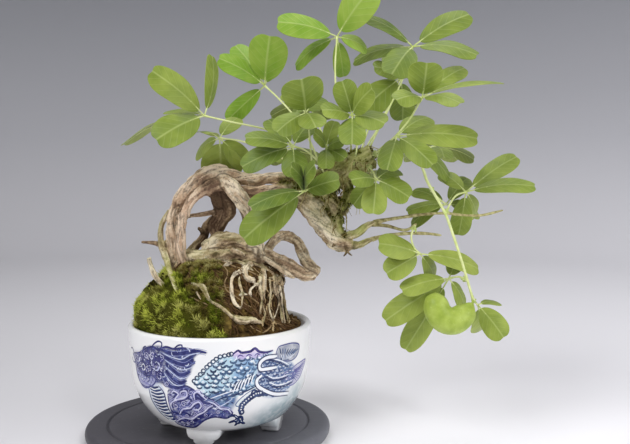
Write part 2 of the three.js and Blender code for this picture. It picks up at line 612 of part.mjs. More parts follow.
// The hanging shoot, its leaves and where they grow on it.
const RUNNER = [
  [84, 152, -10], [90, 157, -12], [96, 160, -13], [102.5, 159.5, -14], [112.5, 150.5, -16], [116.5, 141, -17],
  [119, 136.5, -17], [127, 122.5, -18], [131, 112, -18], [136, 97.5, -18], [140, 84.5, -17], [143.5, 73, -16],
];
const RUNNER_LEAVES = [
  {
    stalk: [[95, 159.6, -13], [97.5, 163, -14], [99.5, 165.5, -14]],
    leaflets: [[146, 164, -22, 15, 55], [120.5, 149, -32, 13, 60], [130, 141, 12, 11, 60, 20],
      [94, 146, -32, 13, 60], [118, 176, 8, 14, 40]],
  },
  {
    stalk: [[127, 122.5, -18], [132.5, 132, -8], [138.5, 134.5, 2]],
    leaflets: [[167.5, 154.5, 24, 12, 60], [178.5, 137.5, -2, 11, 45], [144, 120, 18, 10, 60],
      [134.5, 109.5, 10, 12, 60], [124, 145, 16, 10, 50]],
  },
  {
    stalk: [[119, 136.5, -17], [122, 132, -6], [127.5, 127.5, 8]],
    leaflets: [[105, 123, 2, 9, 40], [107.5, 115.5, 22, 11, 45], [108.5, 135.5, 28, 10, 50],
      [139.5, 142.5, 36, 11, 60], [146, 122, 26, 12, 50]],
  },
  {
    stalk: [[140, 84.5, -17], [135, 86.5, -12], [129.5, 85.5, -7]],
    leaflets: [[102, 78.5, -18, 12, 50], [92.5, 60.5, -8, 15, 70], [104.5, 43.5, 4, 14, 70],
      [138.5, 68, 2, 10, 60, 30], [135, 97, 18, 11, 50]],
  },
  {
    stalk: [[143.5, 73, -16], [145, 71.5, -10], [146, 70.5, -6]],
    leaflets: [[161.5, 51, -14, 14, 70], [159, 71, 8, 6, 30], [147, 55, 18, 12, 70]],
  },
];

// Shares of a leaflet's length and of its width at the rows of its outline.
const LEAFLET_ROWS = [[0.36, 0.37], [0.7, 0.5], [1, 0.22]];
const NOTCH_AT = 0.955;
const LEAFLET_STALK_WIDTH = 0.9;
const LEAFLET_START = 0.8;

function faceDirection(front, side) {
  const turn = THREE.MathUtils.degToRad(front);
  const sideways = THREE.MathUtils.degToRad(side);
  return new THREE.Vector3(
    Math.sin(sideways),
    -Math.sin(turn) * Math.cos(sideways),
    Math.cos(turn) * Math.cos(sideways),
  );
}

// A thin arched blade on its own short stalk, with a notched tip, split into the same triangles
// on both faces.
function leafletSolid(hub, tip, width, face) {
  const along = tip.clone().sub(hub);
  const length = along.length();
  along.normalize();
  const upper = face.clone().addScaledVector(along, -face.dot(along)).normalize();
  const across = along.clone().cross(upper);
  const place = (share, side, lift) => {
    const arch = LEAFLET_ARCH * length * Math.sin(Math.PI * share);
    return hub.clone().addScaledVector(along, share * length)
      .addScaledVector(across, side * width)
      .addScaledVector(upper, arch - LEAFLET_FOLD * Math.abs(side * width) + lift);
  };
  const stalkSide = LEAFLET_STALK_WIDTH / 2 / width;
  const start = LEAFLET_START / length;
  const [low, wide, end] = LEAFLET_ROWS;
  const layout = [
    [start, stalkSide], [STALK_SHARE, stalkSide], low, wide, end, [NOTCH_AT, 0],
    [end[0], -end[1]], [wide[0], -wide[1]], [low[0], -low[1]], [STALK_SHARE, -stalkSide],
    [start, -stalkSide], [low[0], 0], [wide[0], 0],
  ];
  const upperFace = [
    [0, 1, 9], [0, 9, 10], [1, 11, 9], [1, 2, 11], [9, 11, 8], [2, 3, 12], [2, 12, 11],
    [8, 11, 12], [8, 12, 7], [3, 4, 5], [3, 5, 12], [7, 12, 5], [7, 5, 6],
  ];
  const points = [
    ...layout.map(([share, side]) => place(share, side, LEAF_THICKNESS / 2)),
    ...layout.map(([share, side]) => place(share, side, -LEAF_THICKNESS / 2)),
  ];
  const under = layout.length;
  const rim = 11;
  const triangles = upperFace.flat();
  upperFace.forEach(([a, b, c]) => triangles.push(a + under, c + under, b + under));
  for (let corner = 0; corner < rim; corner += 1) {
    const next = (corner + 1) % rim;
    triangles.push(corner, corner + under, next + under, corner, next + under, next);
  }
  return solidOf(meshFrom(points, triangles));
}

// A slender rod through real points.
function rod(points, radius, sides) {
  const curve = new THREE.CatmullRomCurve3(points);
  const steps = Math.max(2, Math.round(curve.getLength() / ROD_SPACING));
  const frames = curve.computeFrenetFrames(steps, false);
  const rings = frames.tangents.map((_, step) => {
    const centre = curve.getPoint(step / steps);
    return Array.from({ length: sides }, (__, side) => {
      const angle = (side / sides) * Math.PI * 2;
      return centre.clone()
        .addScaledVector(frames.normals[step], Math.cos(angle) * radius)
        .addScaledVector(frames.binormals[step], Math.sin(angle) * radius);
    });
  });
  return ringsToSolid(curve.getPoint(0), rings, curve.getPoint(1));
}

function hubKnot(centre) {
  const geometry = new THREE.OctahedronGeometry(KNOT_RADIUS);
  geometry.translate(centre.x, centre.y, centre.z);
  return solidOf(geometry);
}

function leafSolids({ stalk, leaflets }) {
  const stalkPoints = stalk.map(([right, up, back]) => seen(right, up, back));
  const hub = stalkPoints[stalkPoints.length - 1];
  const blades = leaflets.map(([right, up, back, width, front, side = 0]) => (
    leafletSolid(hub, seen(right, up, back), width, faceDirection(front, side))
  ));
  return [rod(stalkPoints, STALK_RADIUS, 4), hubKnot(hub), ...blades];
}

// Five leaflets at even angles round the hub, the middle one along the heading.
function spreadLeafSolids({ stalk, heading }) {
  const stalkPoints = stalk.map(([right, up, back]) => seen(right, up, back));
  const hub = stalkPoints[stalkPoints.length - 1];
  const blades = [-2, -1, 0, 1, 2].map((place) => {
    const angle = THREE.MathUtils.degToRad(heading + place * 68);
    const length = BACK_LEAFLET_LENGTH * (1 - Math.abs(place) * 0.08);
    const tip = hub.clone().add(around(angle, length, -length * BACK_LEAFLET_DROOP));
    return leafletSolid(hub, tip, BACK_LEAFLET_WIDTH, faceDirection(BACK_FACE_LEAN, 0));
  });
  return [rod(stalkPoints, STALK_RADIUS, 4), hubKnot(hub), ...blades];
}

function runner() {
  const stem = rod(RUNNER.map(([right, up, back]) => seen(right, up, back)), RUNNER_RADIUS, 5);
  return joined([stem, ...RUNNER_LEAVES.flatMap(leafSolids)]);
}

// Fruit: one curved pod on a short stalk at the end of the hanging shoot

const FRUIT = [
  [143.5, 72.6, -17.2, 0.7], [142.8, 70.9, -20.5, 1], [141.4, 69, -22.5, 3.4], [139, 65.5, -24, 6.2],
  [133.5, 61.5, -25.5, 7.3], [127.5, 62, -26, 7.4], [123.6, 66.5, -25.5, 7.2], [122.4, 71.5, -25, 6.6],
  [122.2, 75.5, -24.6, 4.8], [122.2, 77.6, -24.4, 2],
];

function fruit() {
  return limb(FRUIT, { sides: 10, spacing: 3.2, rough: 0 });
}

// Assembly

const MATERIALS = {
  stand: new THREE.MeshStandardMaterial({ color: 0x4c4b4f, roughness: 0.55, metalness: 0 }),
  porcelain: new THREE.MeshStandardMaterial({ color: 0xeef0f4, roughness: 0.15, metalness: 0 }),
  mesh: new THREE.MeshStandardMaterial({ color: 0x2b2f2c, roughness: 0.7, metalness: 0 }),
  soil: new THREE.MeshStandardMaterial({ color: 0x4a3220, roughness: 0.95, metalness: 0 }),
  moss: new THREE.MeshStandardMaterial({ color: 0x65761f, roughness: 0.95, metalness: 0 }),
  bark: new THREE.MeshStandardMaterial({ color: 0xab957c, roughness: 0.85, metalness: 0 }),
  leaf: new THREE.MeshStandardMaterial({ color: 0x7f9a3c, roughness: 0.5, metalness: 0 }),
  fruit: new THREE.MeshStandardMaterial({ color: 0xa0b858, roughness: 0.5, metalness: 0 }),
};

function named(name, solid, material) {
  const mesh = new THREE.Mesh(geometryOf(solid), material);
  mesh.name = name;
  return mesh;
}

const bonsai = new THREE.Group();
bonsai.add(named('display_stand', displayStand(), MATERIALS.stand));

const planting = new THREE.Group();
planting.position.set(POT_RIGHT, -POT_FORWARD, STAND_THICKNESS);
bonsai.add(planting);

const trunkRoom = trunk(ROOM_ROUND_TRUNK);
planting.add(named('pot', pot(), MATERIALS.porcelain));
planting.add(named('drainage_mesh', drainageMesh(), MATERIALS.mesh));
planting.add(named('root_ball', largestPiece(soil().subtract(trunkRoom)), MATERIALS.soil));
planting.add(named('moss', largestPiece(moss().subtract(trunkRoom)), MATERIALS.moss));
planting.add(named('trunk', trunk(0), MATERIALS.bark));

Object.entries(LEAVES).forEach(([name, leaf]) => {
  const solid = joined(leafSolids(leaf)).subtract(trunkRoom);
  planting.add(named(name, largestPiece(solid), MATERIALS.leaf));
});
Object.entries(BACK_LEAVES).forEach(([name, leaf]) => {
  const solid = joined(spreadLeafSolids(leaf)).subtract(trunkRoom);
  planting.add(named(name, largestPiece(solid), MATERIALS.leaf));
});
planting.add(named('hanging_shoot', largestPiece(runner().subtract(trunkRoom)), MATERIALS.leaf));
planting.add(named('fruit', fruit(), MATERIALS.fruit));

export default bonsai;
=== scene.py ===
# Looks of the akebia bonsai: bark, leaves, moss, earth, painted porcelain and the dark stand.
# Everything is in metres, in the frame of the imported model.

import math
import random

import bpy
import numpy as np
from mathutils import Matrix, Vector, noise


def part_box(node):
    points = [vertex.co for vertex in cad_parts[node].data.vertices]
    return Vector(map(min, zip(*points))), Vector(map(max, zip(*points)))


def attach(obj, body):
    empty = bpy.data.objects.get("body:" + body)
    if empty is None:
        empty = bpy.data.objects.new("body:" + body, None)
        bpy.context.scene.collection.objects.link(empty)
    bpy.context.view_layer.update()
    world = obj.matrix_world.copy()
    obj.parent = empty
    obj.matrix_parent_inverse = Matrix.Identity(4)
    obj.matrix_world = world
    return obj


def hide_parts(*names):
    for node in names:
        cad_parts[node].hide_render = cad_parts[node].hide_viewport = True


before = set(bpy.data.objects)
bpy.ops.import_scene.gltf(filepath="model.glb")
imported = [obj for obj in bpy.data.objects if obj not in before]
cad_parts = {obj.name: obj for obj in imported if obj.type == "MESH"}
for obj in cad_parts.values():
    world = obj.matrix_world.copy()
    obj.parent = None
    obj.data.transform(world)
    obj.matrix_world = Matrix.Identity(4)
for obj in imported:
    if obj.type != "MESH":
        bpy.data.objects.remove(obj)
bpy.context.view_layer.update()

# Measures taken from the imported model

MM = 0.001
stand_low, stand_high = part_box("display_stand")
pot_low, pot_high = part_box("pot")
STAND_TOP = stand_high[2]
STAND_RADIUS = (stand_high[0] - stand_low[0]) / 2
POT_X = (pot_low[0] + pot_high[0]) / 2
POT_Y = (pot_low[1] + pot_high[1]) / 2

# The eye of the photograph, in millimetres from the pot's axis and the top of the stand.
EYE_RIGHT = 53.8
EYE_DISTANCE = 494
EYE_UP = 154.7
CAMERA_PITCH = 4.3
FOCAL_PIXELS = 880
PHOTO_WIDTH = 630
SENSOR_WIDTH = 36


def seen(right, up, back):
    """A place from where it is seen against the pot's axis plane and its depth behind it."""
    reach = 1 + back / EYE_DISTANCE
    return Vector((
        POT_X + (EYE_RIGHT + (right - EYE_RIGHT) * reach) * MM,
        POT_Y + back * MM,
        STAND_TOP + (EYE_UP + (up - EYE_UP) * reach) * MM,
    ))


def by_pot(right, back, up):
    """A place measured from the pot's axis and the top of the stand, in millimetres."""
    return Vector((POT_X + right * MM, POT_Y + back * MM, STAND_TOP + up * MM))


# Camera

camera = bpy.data.objects.new("photo_camera", bpy.data.cameras.new("photo_camera"))
camera.data.sensor_width = SENSOR_WIDTH
camera.data.lens = FOCAL_PIXELS * SENSOR_WIDTH / PHOTO_WIDTH
camera.location = by_pot(EYE_RIGHT, -EYE_DISTANCE, EYE_UP)
camera.rotation_euler = (math.radians(90 - CAMERA_PITCH), 0, 0)
camera.data.clip_start = 0.01
bpy.context.collection.objects.link(camera)
bpy.context.scene.camera = camera
bpy.context.scene.view_settings.view_transform = "Standard"


# Mesh helpers

class Build:
    """Gathers the vertices and faces of one piece, with a few numbers kept on each vertex."""

    def __init__(self):
        self.vertices = []
        self.faces = []
        self.slots = []
        self.marks = []

    def add(self, vertices, faces, slot=0, marks=None, mark=(0, 0, 0)):
        start = len(self.vertices)
        self.vertices.extend(vertices)
        self.faces.extend([[start + corner for corner in face] for face in faces])
        self.slots.extend([slot] * len(faces))
        self.marks.extend(marks if marks is not None else [mark] * len(vertices))

    def piece(self, name, materials, slot, replaces=()):
        mesh = bpy.data.meshes.new(name)
        mesh.from_pydata(self.vertices, [], self.faces)
        for material in materials:
            mesh.materials.append(material)
        mesh.polygons.foreach_set("material_index", self.slots)
        keep_marks(mesh, self.marks)
        return shown(name, mesh, replaces)


def keep_marks(mesh, marks, name="marks"):
    layer = mesh.attributes.new(name, "FLOAT_VECTOR", "POINT")
    layer.data.foreach_set("vector", np.asarray(marks, dtype=np.float32).ravel())


def shown(name, mesh, replaces=()):
    """Puts a mesh into the scene as a smooth piece of the part."""
    mesh.polygons.foreach_set("use_smooth", [True] * len(mesh.polygons))
    mesh.update()
    piece = bpy.data.objects.new(name, mesh)
    bpy.context.collection.objects.link(piece)
    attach(piece, "root")
    if replaces:
        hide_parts(*replaces)
    return piece


def curve_point(before, start, end, after, t):
    """A place on the Catmull-Rom curve that runs from start, t = 0, to end, t = 1."""
    return 0.5 * (2 * start + (end - before) * t
                  + (2 * before - 5 * start + 4 * end - after) * t ** 2
                  + (3 * start - before - 3 * end + after) * t ** 3)

def smooth_path(points, spacing):
    """Points of a Catmull-Rom line through given rows of numbers, about spacing apart."""
    rows = [np.array(point, dtype=float) for point in points]
    rows = [rows[0] * 2 - rows[1], *rows, rows[-1] * 2 - rows[-2]]
    path = []
    for before, start, end, after in zip(rows, rows[1:], rows[2:], rows[3:]):
        steps = max(1, int(round(np.linalg.norm((end - start)[:3]) / spacing)))
        for step in range(steps):
            path.append(curve_point(before, start, end, after, step / steps))
    path.append(rows[-2])
    return path


def frames_along(centres):
    """A pair of side directions at each centre, turned as little as possible on the way."""
    tangents = []
    for index in range(len(centres)):
        ahead = centres[min(index + 1, len(centres) - 1)]
        behind = centres[max(index - 1, 0)]
        tangents.append((ahead - behind).normalized())
    side = tangents[0].orthogonal().normalized()
    frames = []
    for tangent in tangents:
        side = (side - tangent * side.dot(tangent)).normalized()
        frames.append((tangent, side, tangent.cross(side)))
    return frames


def ring_faces(rows, sides):
    """The faces between neighbouring rings of a round skin, from its first ring on."""
    faces = []
    for row in range(rows):
        low = row * sides
        for turn in range(sides):
            after = (turn + 1) % sides
            faces.append((low + turn, low + after, low + sides + after, low + sides + turn))
    return faces

def ring_places(radius, height, sides, centre=(0, 0)):
    """Places at even steps round an upright axis."""
    angles = [turn / sides * math.tau for turn in range(sides)]
    return [Vector((centre[0] + math.cos(angle) * radius, centre[1] + math.sin(angle) * radius, height))
            for angle in angles]

def tube(build, centres, radii, sides, slot=0, mark=(0, 0, 0), wobble=None):
    """A closed round bar through the centres, its radius the same or told for each of them."""
    vertices = []
    for index, (centre, frame_here) in enumerate(zip(centres, frames_along(centres))):
        _, side, across = frame_here
        for turn in range(sides):
            angle = turn / sides * math.tau
            reach = radii[index] * (wobble(index, turn) if wobble else 1)
            vertices.append(centre + (side * math.cos(angle) + across * math.sin(angle)) * reach)
    faces = ring_faces(len(centres) - 1, sides)
    faces.append(tuple(reversed(range(sides))))
    top = (len(centres) - 1) * sides
    faces.append(tuple(top + turn for turn in range(sides)))
    build.add(vertices, faces, slot, mark=mark)


def lathe(build, profile, sides, centre=(0, 0)):
    """Turns a closed profile of [radius, height] round an upright axis."""
    vertices = []
    for radius, height in profile:
        vertices += ring_places(radius, height, sides, centre)
    faces = ring_faces(len(profile) - 1, sides)
    last = (len(profile) - 1) * sides
    for turn in range(sides):
        after = (turn + 1) % sides
        faces.append((last + turn, last + after, after, turn))
    build.add(vertices, faces)


# Material helpers

def linear(red, green, blue):
    """A colour as a screen shows it, turned into the light values that shaders use."""
    def channel(value):
        value /= 255
        return value / 12.92 if value <= 0.04045 else ((value + 0.055) / 1.055) ** 2.4
    return (channel(red), channel(green), channel(blue), 1)


class Paint:
    """One node material, with short calls for the nodes that the materials here share."""

    def __init__(self, name, roughness=0.5, specular=0.5, coat=0.0, sheen=0.0, subsurface=0.0):
        self.material = bpy.data.materials.new(name)
        self.material.use_nodes = True
        self.tree = self.material.node_tree
        self.shader = self.tree.nodes["Principled BSDF"]
        self.shader.inputs["Roughness"].default_value = roughness
        self.shader.inputs["Specular IOR Level"].default_value = specular
        self.shader.inputs["Coat Weight"].default_value = coat
        self.shader.inputs["Coat Roughness"].default_value = 0.08
        self.shader.inputs["Sheen Weight"].default_value = sheen
        self.shader.inputs["Subsurface Weight"].default_value = subsurface

    def node(self, kind, **settings):
        made = self.tree.nodes.new(kind)
        for key, value in settings.items():
            setattr(made, key, value)
        return made

    def feed(self, socket, value):
        if isinstance(value, bpy.types.NodeSocket):
            self.tree.links.new(value, socket)
        else:
            socket.default_value = value

    def place(self):
        return self.node("ShaderNodeTexCoord").outputs["Object"]

    def marks(self, name="marks"):
        attribute = self.node("ShaderNodeAttribute", attribute_name=name)
        parts = self.node("ShaderNodeSeparateXYZ")
        self.feed(parts.inputs[0], attribute.outputs["Vector"])
        return parts.outputs[0], parts.outputs[1], parts.outputs[2]

    def noise(self, scale, detail=4.0, where=None, stretch=None):
        vector = where if where is not None else self.place()
        if stretch is not None:
            mapping = self.node("ShaderNodeMapping")
            mapping.inputs["Scale"].default_value = stretch
            self.feed(mapping.inputs["Vector"], vector)
            vector = mapping.outputs[0]
        made = self.node("ShaderNodeTexNoise")
        made.inputs["Scale"].default_value = scale
        made.inputs["Detail"].default_value = detail
        self.feed(made.inputs["Vector"], vector)
        return made.outputs["Fac"]

    def ramp(self, factor, *stops):
        """A colour ramp. A stop of three numbers is a screen colour, one of four is in light values."""
        made = self.node("ShaderNodeValToRGB")
        elements = made.color_ramp.elements
        while len(elements) < len(stops):
            elements.new(0.5)
        for element, (position, colour) in zip(elements, stops):
            element.position = position
            element.color = colour if len(colour) == 4 else linear(*colour)
        self.feed(made.inputs[0], factor)
        return made.outputs[0]

    def grey(self, factor, low, high, at_low=0.0, at_high=1.0):
        made = self.node("ShaderNodeMapRange")
        self.feed(made.inputs[0], factor)
        for index, value in enumerate((low, high, at_low, at_high), start=1):
            made.inputs[index].default_value = value
        return made.outputs[0]

    def math(self, operation, first, second=0.0):
        made = self.node("ShaderNodeMath", operation=operation)
        self.feed(made.inputs[0], first)
        self.feed(made.inputs[1], second)
        return made.outputs[0]

    def mix(self, factor, first, second, blend="MIX"):
        made = self.node("ShaderNodeMix", data_type="RGBA", blend_type=blend)
        self.feed(made.inputs[0], factor)
        self.feed(made.inputs[6], first)
        self.feed(made.inputs[7], second)
        return made.outputs[2]

    def colour(self, value):
        self.feed(self.shader.inputs["Base Color"], value)

    def rough(self, value):
        self.feed(self.shader.inputs["Roughness"], value)

    def bump(self, height, distance, strength=1.0):
        made = self.node("ShaderNodeBump")
        made.inputs["Strength"].default_value = strength
        made.inputs["Distance"].default_value = distance
        self.feed(made.inputs["Height"], height)
        self.feed(self.shader.inputs["Normal"], made.outputs[0])


# Display stand

def stand_material():
    paint = Paint("dark_lacquer", specular=0.4, coat=0.06)
    grain = paint.noise(60, 6, stretch=(1, 9, 1))
    dust = paint.noise(420, 3)
    base = paint.ramp(grain, (0.3, (62, 60, 65)), (0.7, (76, 75, 81)))
    # Painted reflection: the lacquer is painted lighter towards its right, for the bright paper reflected
    # there.
    where = paint.node("ShaderNodeSeparateXYZ")
    paint.feed(where.inputs[0], paint.place())
    lacquer_with_painted_reflection = paint.mix(paint.grey(where.outputs[0], 0.01, 0.07, 0, 0.55), base, linear(114, 116, 124))
    speckle = paint.grey(dust, 0.62, 0.75, 0, 0.35)
    paint.colour(paint.mix(speckle, lacquer_with_painted_reflection, linear(112, 111, 118)))
    paint.rough(paint.grey(grain, 0.3, 0.7, 0.5, 0.64))
    paint.bump(grain, 0.0001, 0.4)
    return paint.material


def make_stand():
    groove = 58.2
    outer = STAND_RADIUS / MM
    top = STAND_TOP / MM
    corners = [
        (0.01, 0), (outer - 4.5, 0), (outer - 2.6, 0.3), (outer - 1, 1.4), (outer - 0.2, 3), (outer, 4.4),
        (outer - 0.2, 5.8), (outer - 0.7, 6.8), (outer - 1.5, 7.6), (outer - 2.6, top), (outer - 4, top),
        (groove + 1.4, top), (groove + 0.85, top - 0.1), (groove + 0.65, top - 1.5),
        (groove - 0.65, top - 1.5), (groove - 0.85, top - 0.1), (groove - 1.4, top), (0.01, top),
    ]
    build = Build()
    profile = [(radius * MM, height * MM) for radius, height in corners]
    lathe(build, profile, 256)
    return build.piece("stand_plate", [stand_material()], "stand", ["display_stand"])


# Pot

# The bowl's outline as [radius, height] in millimetres: round its hole and below it, outside, inside.
POT_BOTTOM = [(5, 12), (5, 7.8), (28, 7.8)]
POT_OUTSIDE = [
    (33, 7.8), (37.6, 10.4), (42.4, 16), (46.4, 22.8), (49, 31), (50.4, 44), (51.3, 58),
    (51.25, 60.4), (50.3, 61.5),
]
POT_INSIDE = [
    (48.8, 61.5), (47.6, 60.2), (46.6, 44), (45, 30), (40.6, 20.4), (34, 14.4), (27, 12),
]
POT_SEGMENTS = 480
PROFILE_STEP = 0.6
FOOT_ANGLES = [-100, -10, 80, 170]
FOOT_MIDDLE = 5.4


def rounded_profile():
    """The bowl's outside, rounded, as closely stepped [radius, height] in millimetres."""
    return [(row[0], row[1]) for row in smooth_path([(*point, 0) for point in POT_OUTSIDE], PROFILE_STEP)]

def porcelain_material():
    paint = Paint("painted_porcelain", roughness=0.16, specular=0.5, coat=0.5)
    painted = paint.node("ShaderNodeAttribute", attribute_name="painting").outputs["Color"]
    cloud = paint.noise(28, 2)
    tint = paint.ramp(cloud, (0.35, (1, 1, 1, 1)), (0.75, (246, 249, 252)))
    paint.colour(paint.mix(1.0, painted, tint, "MULTIPLY"))
    paint.bump(paint.noise(90, 2), 0.0002, 0.12)
    return paint.material


def make_pot():
    build = Build()
    corners = [*POT_BOTTOM, *rounded_profile(), *POT_INSIDE]
    profile = [(radius * MM, height * MM + STAND_TOP) for radius, height in corners]
    lathe(build, profile, POT_SEGMENTS, centre=(POT_X, POT_Y))
    for angle in FOOT_ANGLES:
        pot_foot(build, math.radians(angle))
    piece = build.piece("pot_body", [porcelain_material()], "porcelain", ["pot"])
    paint_washes(piece)


def pot_foot(build, angle):
    """One cloud-shaped foot, with its front edge eased."""
    outline = [
        (-3.2, 0.3), (3.2, 0.3), (4.6, 0.9), (5.6, 2), (5.7, 3.2), (7.4, 3.6), (8.8, 4.8), (9.4, 6.6),
        (9.8, 10.5), (-9.8, 10.5), (-9.4, 6.6), (-8.8, 4.8), (-7.4, 3.6), (-5.7, 3.2), (-5.6, 2), (-4.6, 0.9),
    ]
    outward = Vector((math.cos(angle), math.sin(angle), 0))
    side = Vector((-math.sin(angle), math.cos(angle), 0))
    vertices = []
    for reach, shrink in ((25, 1), (33.6, 1), (34.5, 0.94)):
        for across, up in outline:
            height = FOOT_MIDDLE + (up - FOOT_MIDDLE) * shrink
            point = outward * reach * MM + side * across * shrink * MM
            vertices.append(point + Vector((POT_X, POT_Y, STAND_TOP + height * MM)))
    count = len(outline)
    faces = [tuple(range(count))]
    for ring in (0, 1):
        for corner in range(count):
            after = (corner + 1) % count
            faces.append((ring * count + corner, (ring + 1) * count + corner,
                          (ring + 1) * count + after, ring * count + after))
    faces.append(tuple(reversed(range(2 * count, 3 * count))))
    build.add(vertices, faces)


# Painting on the pot: a dragon among clouds in blue and white, drawn on the unrolled bowl.
# A place there is (round, up): millimetres to the right of the front, and above the stand.

PAINT_RADIUS = 50.5
PAINTING_TURNS = (0, 180)
GLAZE_WHITE = (251, 250, 248)

HEAD = [
    (-55, 48), (-53, 48.5), (-47, 49.6), (-41.6, 51), (-36.6, 55), (-32, 56), (-26.5, 56.5), (-21, 56),
    (-15.4, 57), (-10, 56.2), (-5, 55.3), (-1.3, 54.3), (-5.4, 53.7), (-8, 51.5), (-7.7, 48.4),
    (-9.3, 46.7), (-9.9, 44), (-12.9, 39.6), (-13.7, 35), (-21, 33.5), (-29.5, 36), (-38, 33),
    (-45, 32), (-48, 34.5), (-51, 38), (-51, 44),
]
FACE = [
    (-54, 48), (-44, 51), (-38, 53.5), (-30, 53), (-26, 49), (-26, 43), (-30, 38.5), (-38, 38), (-45, 39),
    (-51, 42),
]
MUZZLE = [(-50, 41), (-46, 39.5), (-40, 38.6), (-33, 38.6), (-32.5, 35), (-38, 32), (-45, 31), (-48, 34),
          (-50.4, 38)]
BELLY = [
    (-38, 33), (-39.5, 28.4), (-39, 24), (-38, 19), (-34.7, 16), (-30, 13.5), (-25, 15), (-27, 21),
    (-26.6, 26), (-26.5, 31.7), (-29.5, 36),
]
CLOUD = [
    (-24.4, 32), (-21.7, 33.4), (-16.7, 35), (-13, 36.4), (-8.8, 34.4), (-5.6, 31.3), (-1.4, 30.3),
    (1.3, 29), (4, 26), (8, 24), (12, 21), (9, 18), (2, 19), (-4.4, 17), (-13, 11.4), (-21.7, 11.2),
    (-26.7, 13.3), (-25.3, 20.2),
]
BODY = [
    (-8.6, 38.8), (-5.2, 42.6), (-2.5, 45.3), (1.6, 48.5), (5.2, 52.2), (9.3, 52), (13.3, 53),
    (24, 53.4), (34, 52.8), (27.5, 49), (25.3, 46), (24.8, 41.7), (24.5, 37.4), (24.6, 35),
    (18.4, 32.7), (13.6, 29.8), (10.5, 24), (6, 22), (1.7, 26.8), (-4, 33),
]
BODY_RIGHT = [(14, 50.6), (28.6, 50.8), (25.6, 48), (23.6, 45), (23, 41.7), (22.8, 37), (17, 33.8),
              (11.5, 33),
              (12.5, 42)]
FLANK = [(-2, 31), (2.9, 33.5), (8, 35), (12, 32.6), (14, 29), (12.6, 25), (9.4, 21.4), (4.9, 22.4),
         (0.6, 27)]
CREST = [(11.5, 53.2), (14.4, 55.2), (15.9, 54), (19.1, 54), (21.2, 54.3), (23.4, 55.6), (25.7, 53.6),
         (29.8, 52.7), (34, 53.2)]
TAIL_COIL = [
    (26.5, 50), (33, 51), (41, 48), (49, 44), (53, 38), (50, 32), (43, 28), (34, 27.5), (27, 31),
    (24.5, 38), (25.5, 45),
]
TAIL_LOOPS = [
    [(36.9, 49.7), (30, 49.7), (26.4, 47.4), (26.5, 44.2), (30, 43.7), (37, 43.7)],
    [(27.8, 40.8), (25, 38.4), (25.7, 35), (30.8, 31.6), (37.5, 28.8), (48.7, 27)],
]
TAIL_FOLDS = [
    [(27.5, 47.4), (31.1, 48.4), (35.6, 47), (41, 44.8), (46, 42)],
    [(30.3, 39.2), (34.3, 37), (40, 36.4), (46.3, 37)],
    [(31.9, 35.2), (37.5, 32.6), (44.4, 32.2), (50.6, 33)],
]
PLUME = [(36.8, 48.3), (37.3, 54), (41.5, 55), (48.8, 54.8), (55, 52.5), (53.4, 47.3), (46.8, 45.4)]
FIN = [(41, 38), (49.3, 41), (57, 42.5), (65.6, 42.3), (61.7, 37), (57, 33), (48.6, 31.5)]
LEG = [(24.6, 34), (19, 31.5), (14.3, 27.4), (14, 25), (19.5, 25.7), (22.5, 30)]
ANKLE = [(21.6, 28.4), (22.9, 33.2), (25.9, 32), (28.2, 33.4), (30.6, 31.4), (27.3, 29.4), (24, 29.8)]
CHAIN = [(27.5, 31), (24.8, 30.9), (22, 29.5), (19.4, 27.5), (17.3, 25.4), (16.9, 22.6), (18.2, 19.6)]
CLAW = (17, 16.2)
# Painted shade: a grey-green patch low on the bowl's right, laid as a wash with the painting.
PAINTED_SHADE_PATCH = [(20, 8), (25, 14), (32, 20), (42, 25), (50, 29), (60, 32), (68, 12), (44, 3)]
MANE_LOCKS = [
    [(-27.5, 54.4), (-20.3, 53.2), (-13.9, 53.8), (-6.8, 55.3), (-1.6, 54.4)],
    [(-25, 51), (-19.3, 48.8), (-13.3, 47.8), (-8.2, 50.5)],
    [(-24.5, 47.6), (-20.1, 44.4), (-15.6, 42.1), (-10.2, 44.2)],
    [(-25, 44.2), (-21.6, 40.7), (-16.6, 38), (-12.4, 39.2)],
    [(-27, 42), (-25.1, 37.9), (-21.5, 35.1), (-16.4, 35.4)],
]
MANE_GLINTS = [
    [(-26, 52.6), (-19.2, 50.9), (-14.6, 50.6), (-10.2, 53), (-4.9, 54.4)],
    [(-25, 49.4), (-19.7, 46.7), (-15.4, 44.9), (-11, 45.8), (-8.3, 47.4)],
    [(-25.2, 46), (-20.3, 42.4), (-15.7, 40.1), (-11.3, 41.6)],
    [(-26, 42.6), (-22, 37.9), (-18.3, 36.2), (-14.5, 36.8)],
]
BROW = [(-53, 48.6), (-44.8, 50.4), (-38, 53.8), (-32.6, 55.2), (-28.6, 54.2), (-23.7, 56.3), (-18.9, 55.6),
        (-13.3, 56.5), (-6.9, 55.8)]
TOP_CURLS = [
    [(-34.5, 52.6), (-32.5, 56.3), (-28.8, 58.7), (-26.5, 58.2), (-26.7, 55.9), (-29.1, 54.4)],
    [(-18.9, 55.9), (-16.5, 57.7), (-14.4, 58), (-14.2, 56.7), (-16.1, 55.5)],
    [(-42, 50.6), (-41, 53.4), (-38.4, 54.6), (-37.4, 52.8)],
]
JAW = [(-47.2, 33), (-40.8, 32.2), (-35, 34.2), (-32.2, 37.6), (-35.2, 39.4), (-40, 38.4), (-45, 39.6),
       (-49.6, 41.6)]
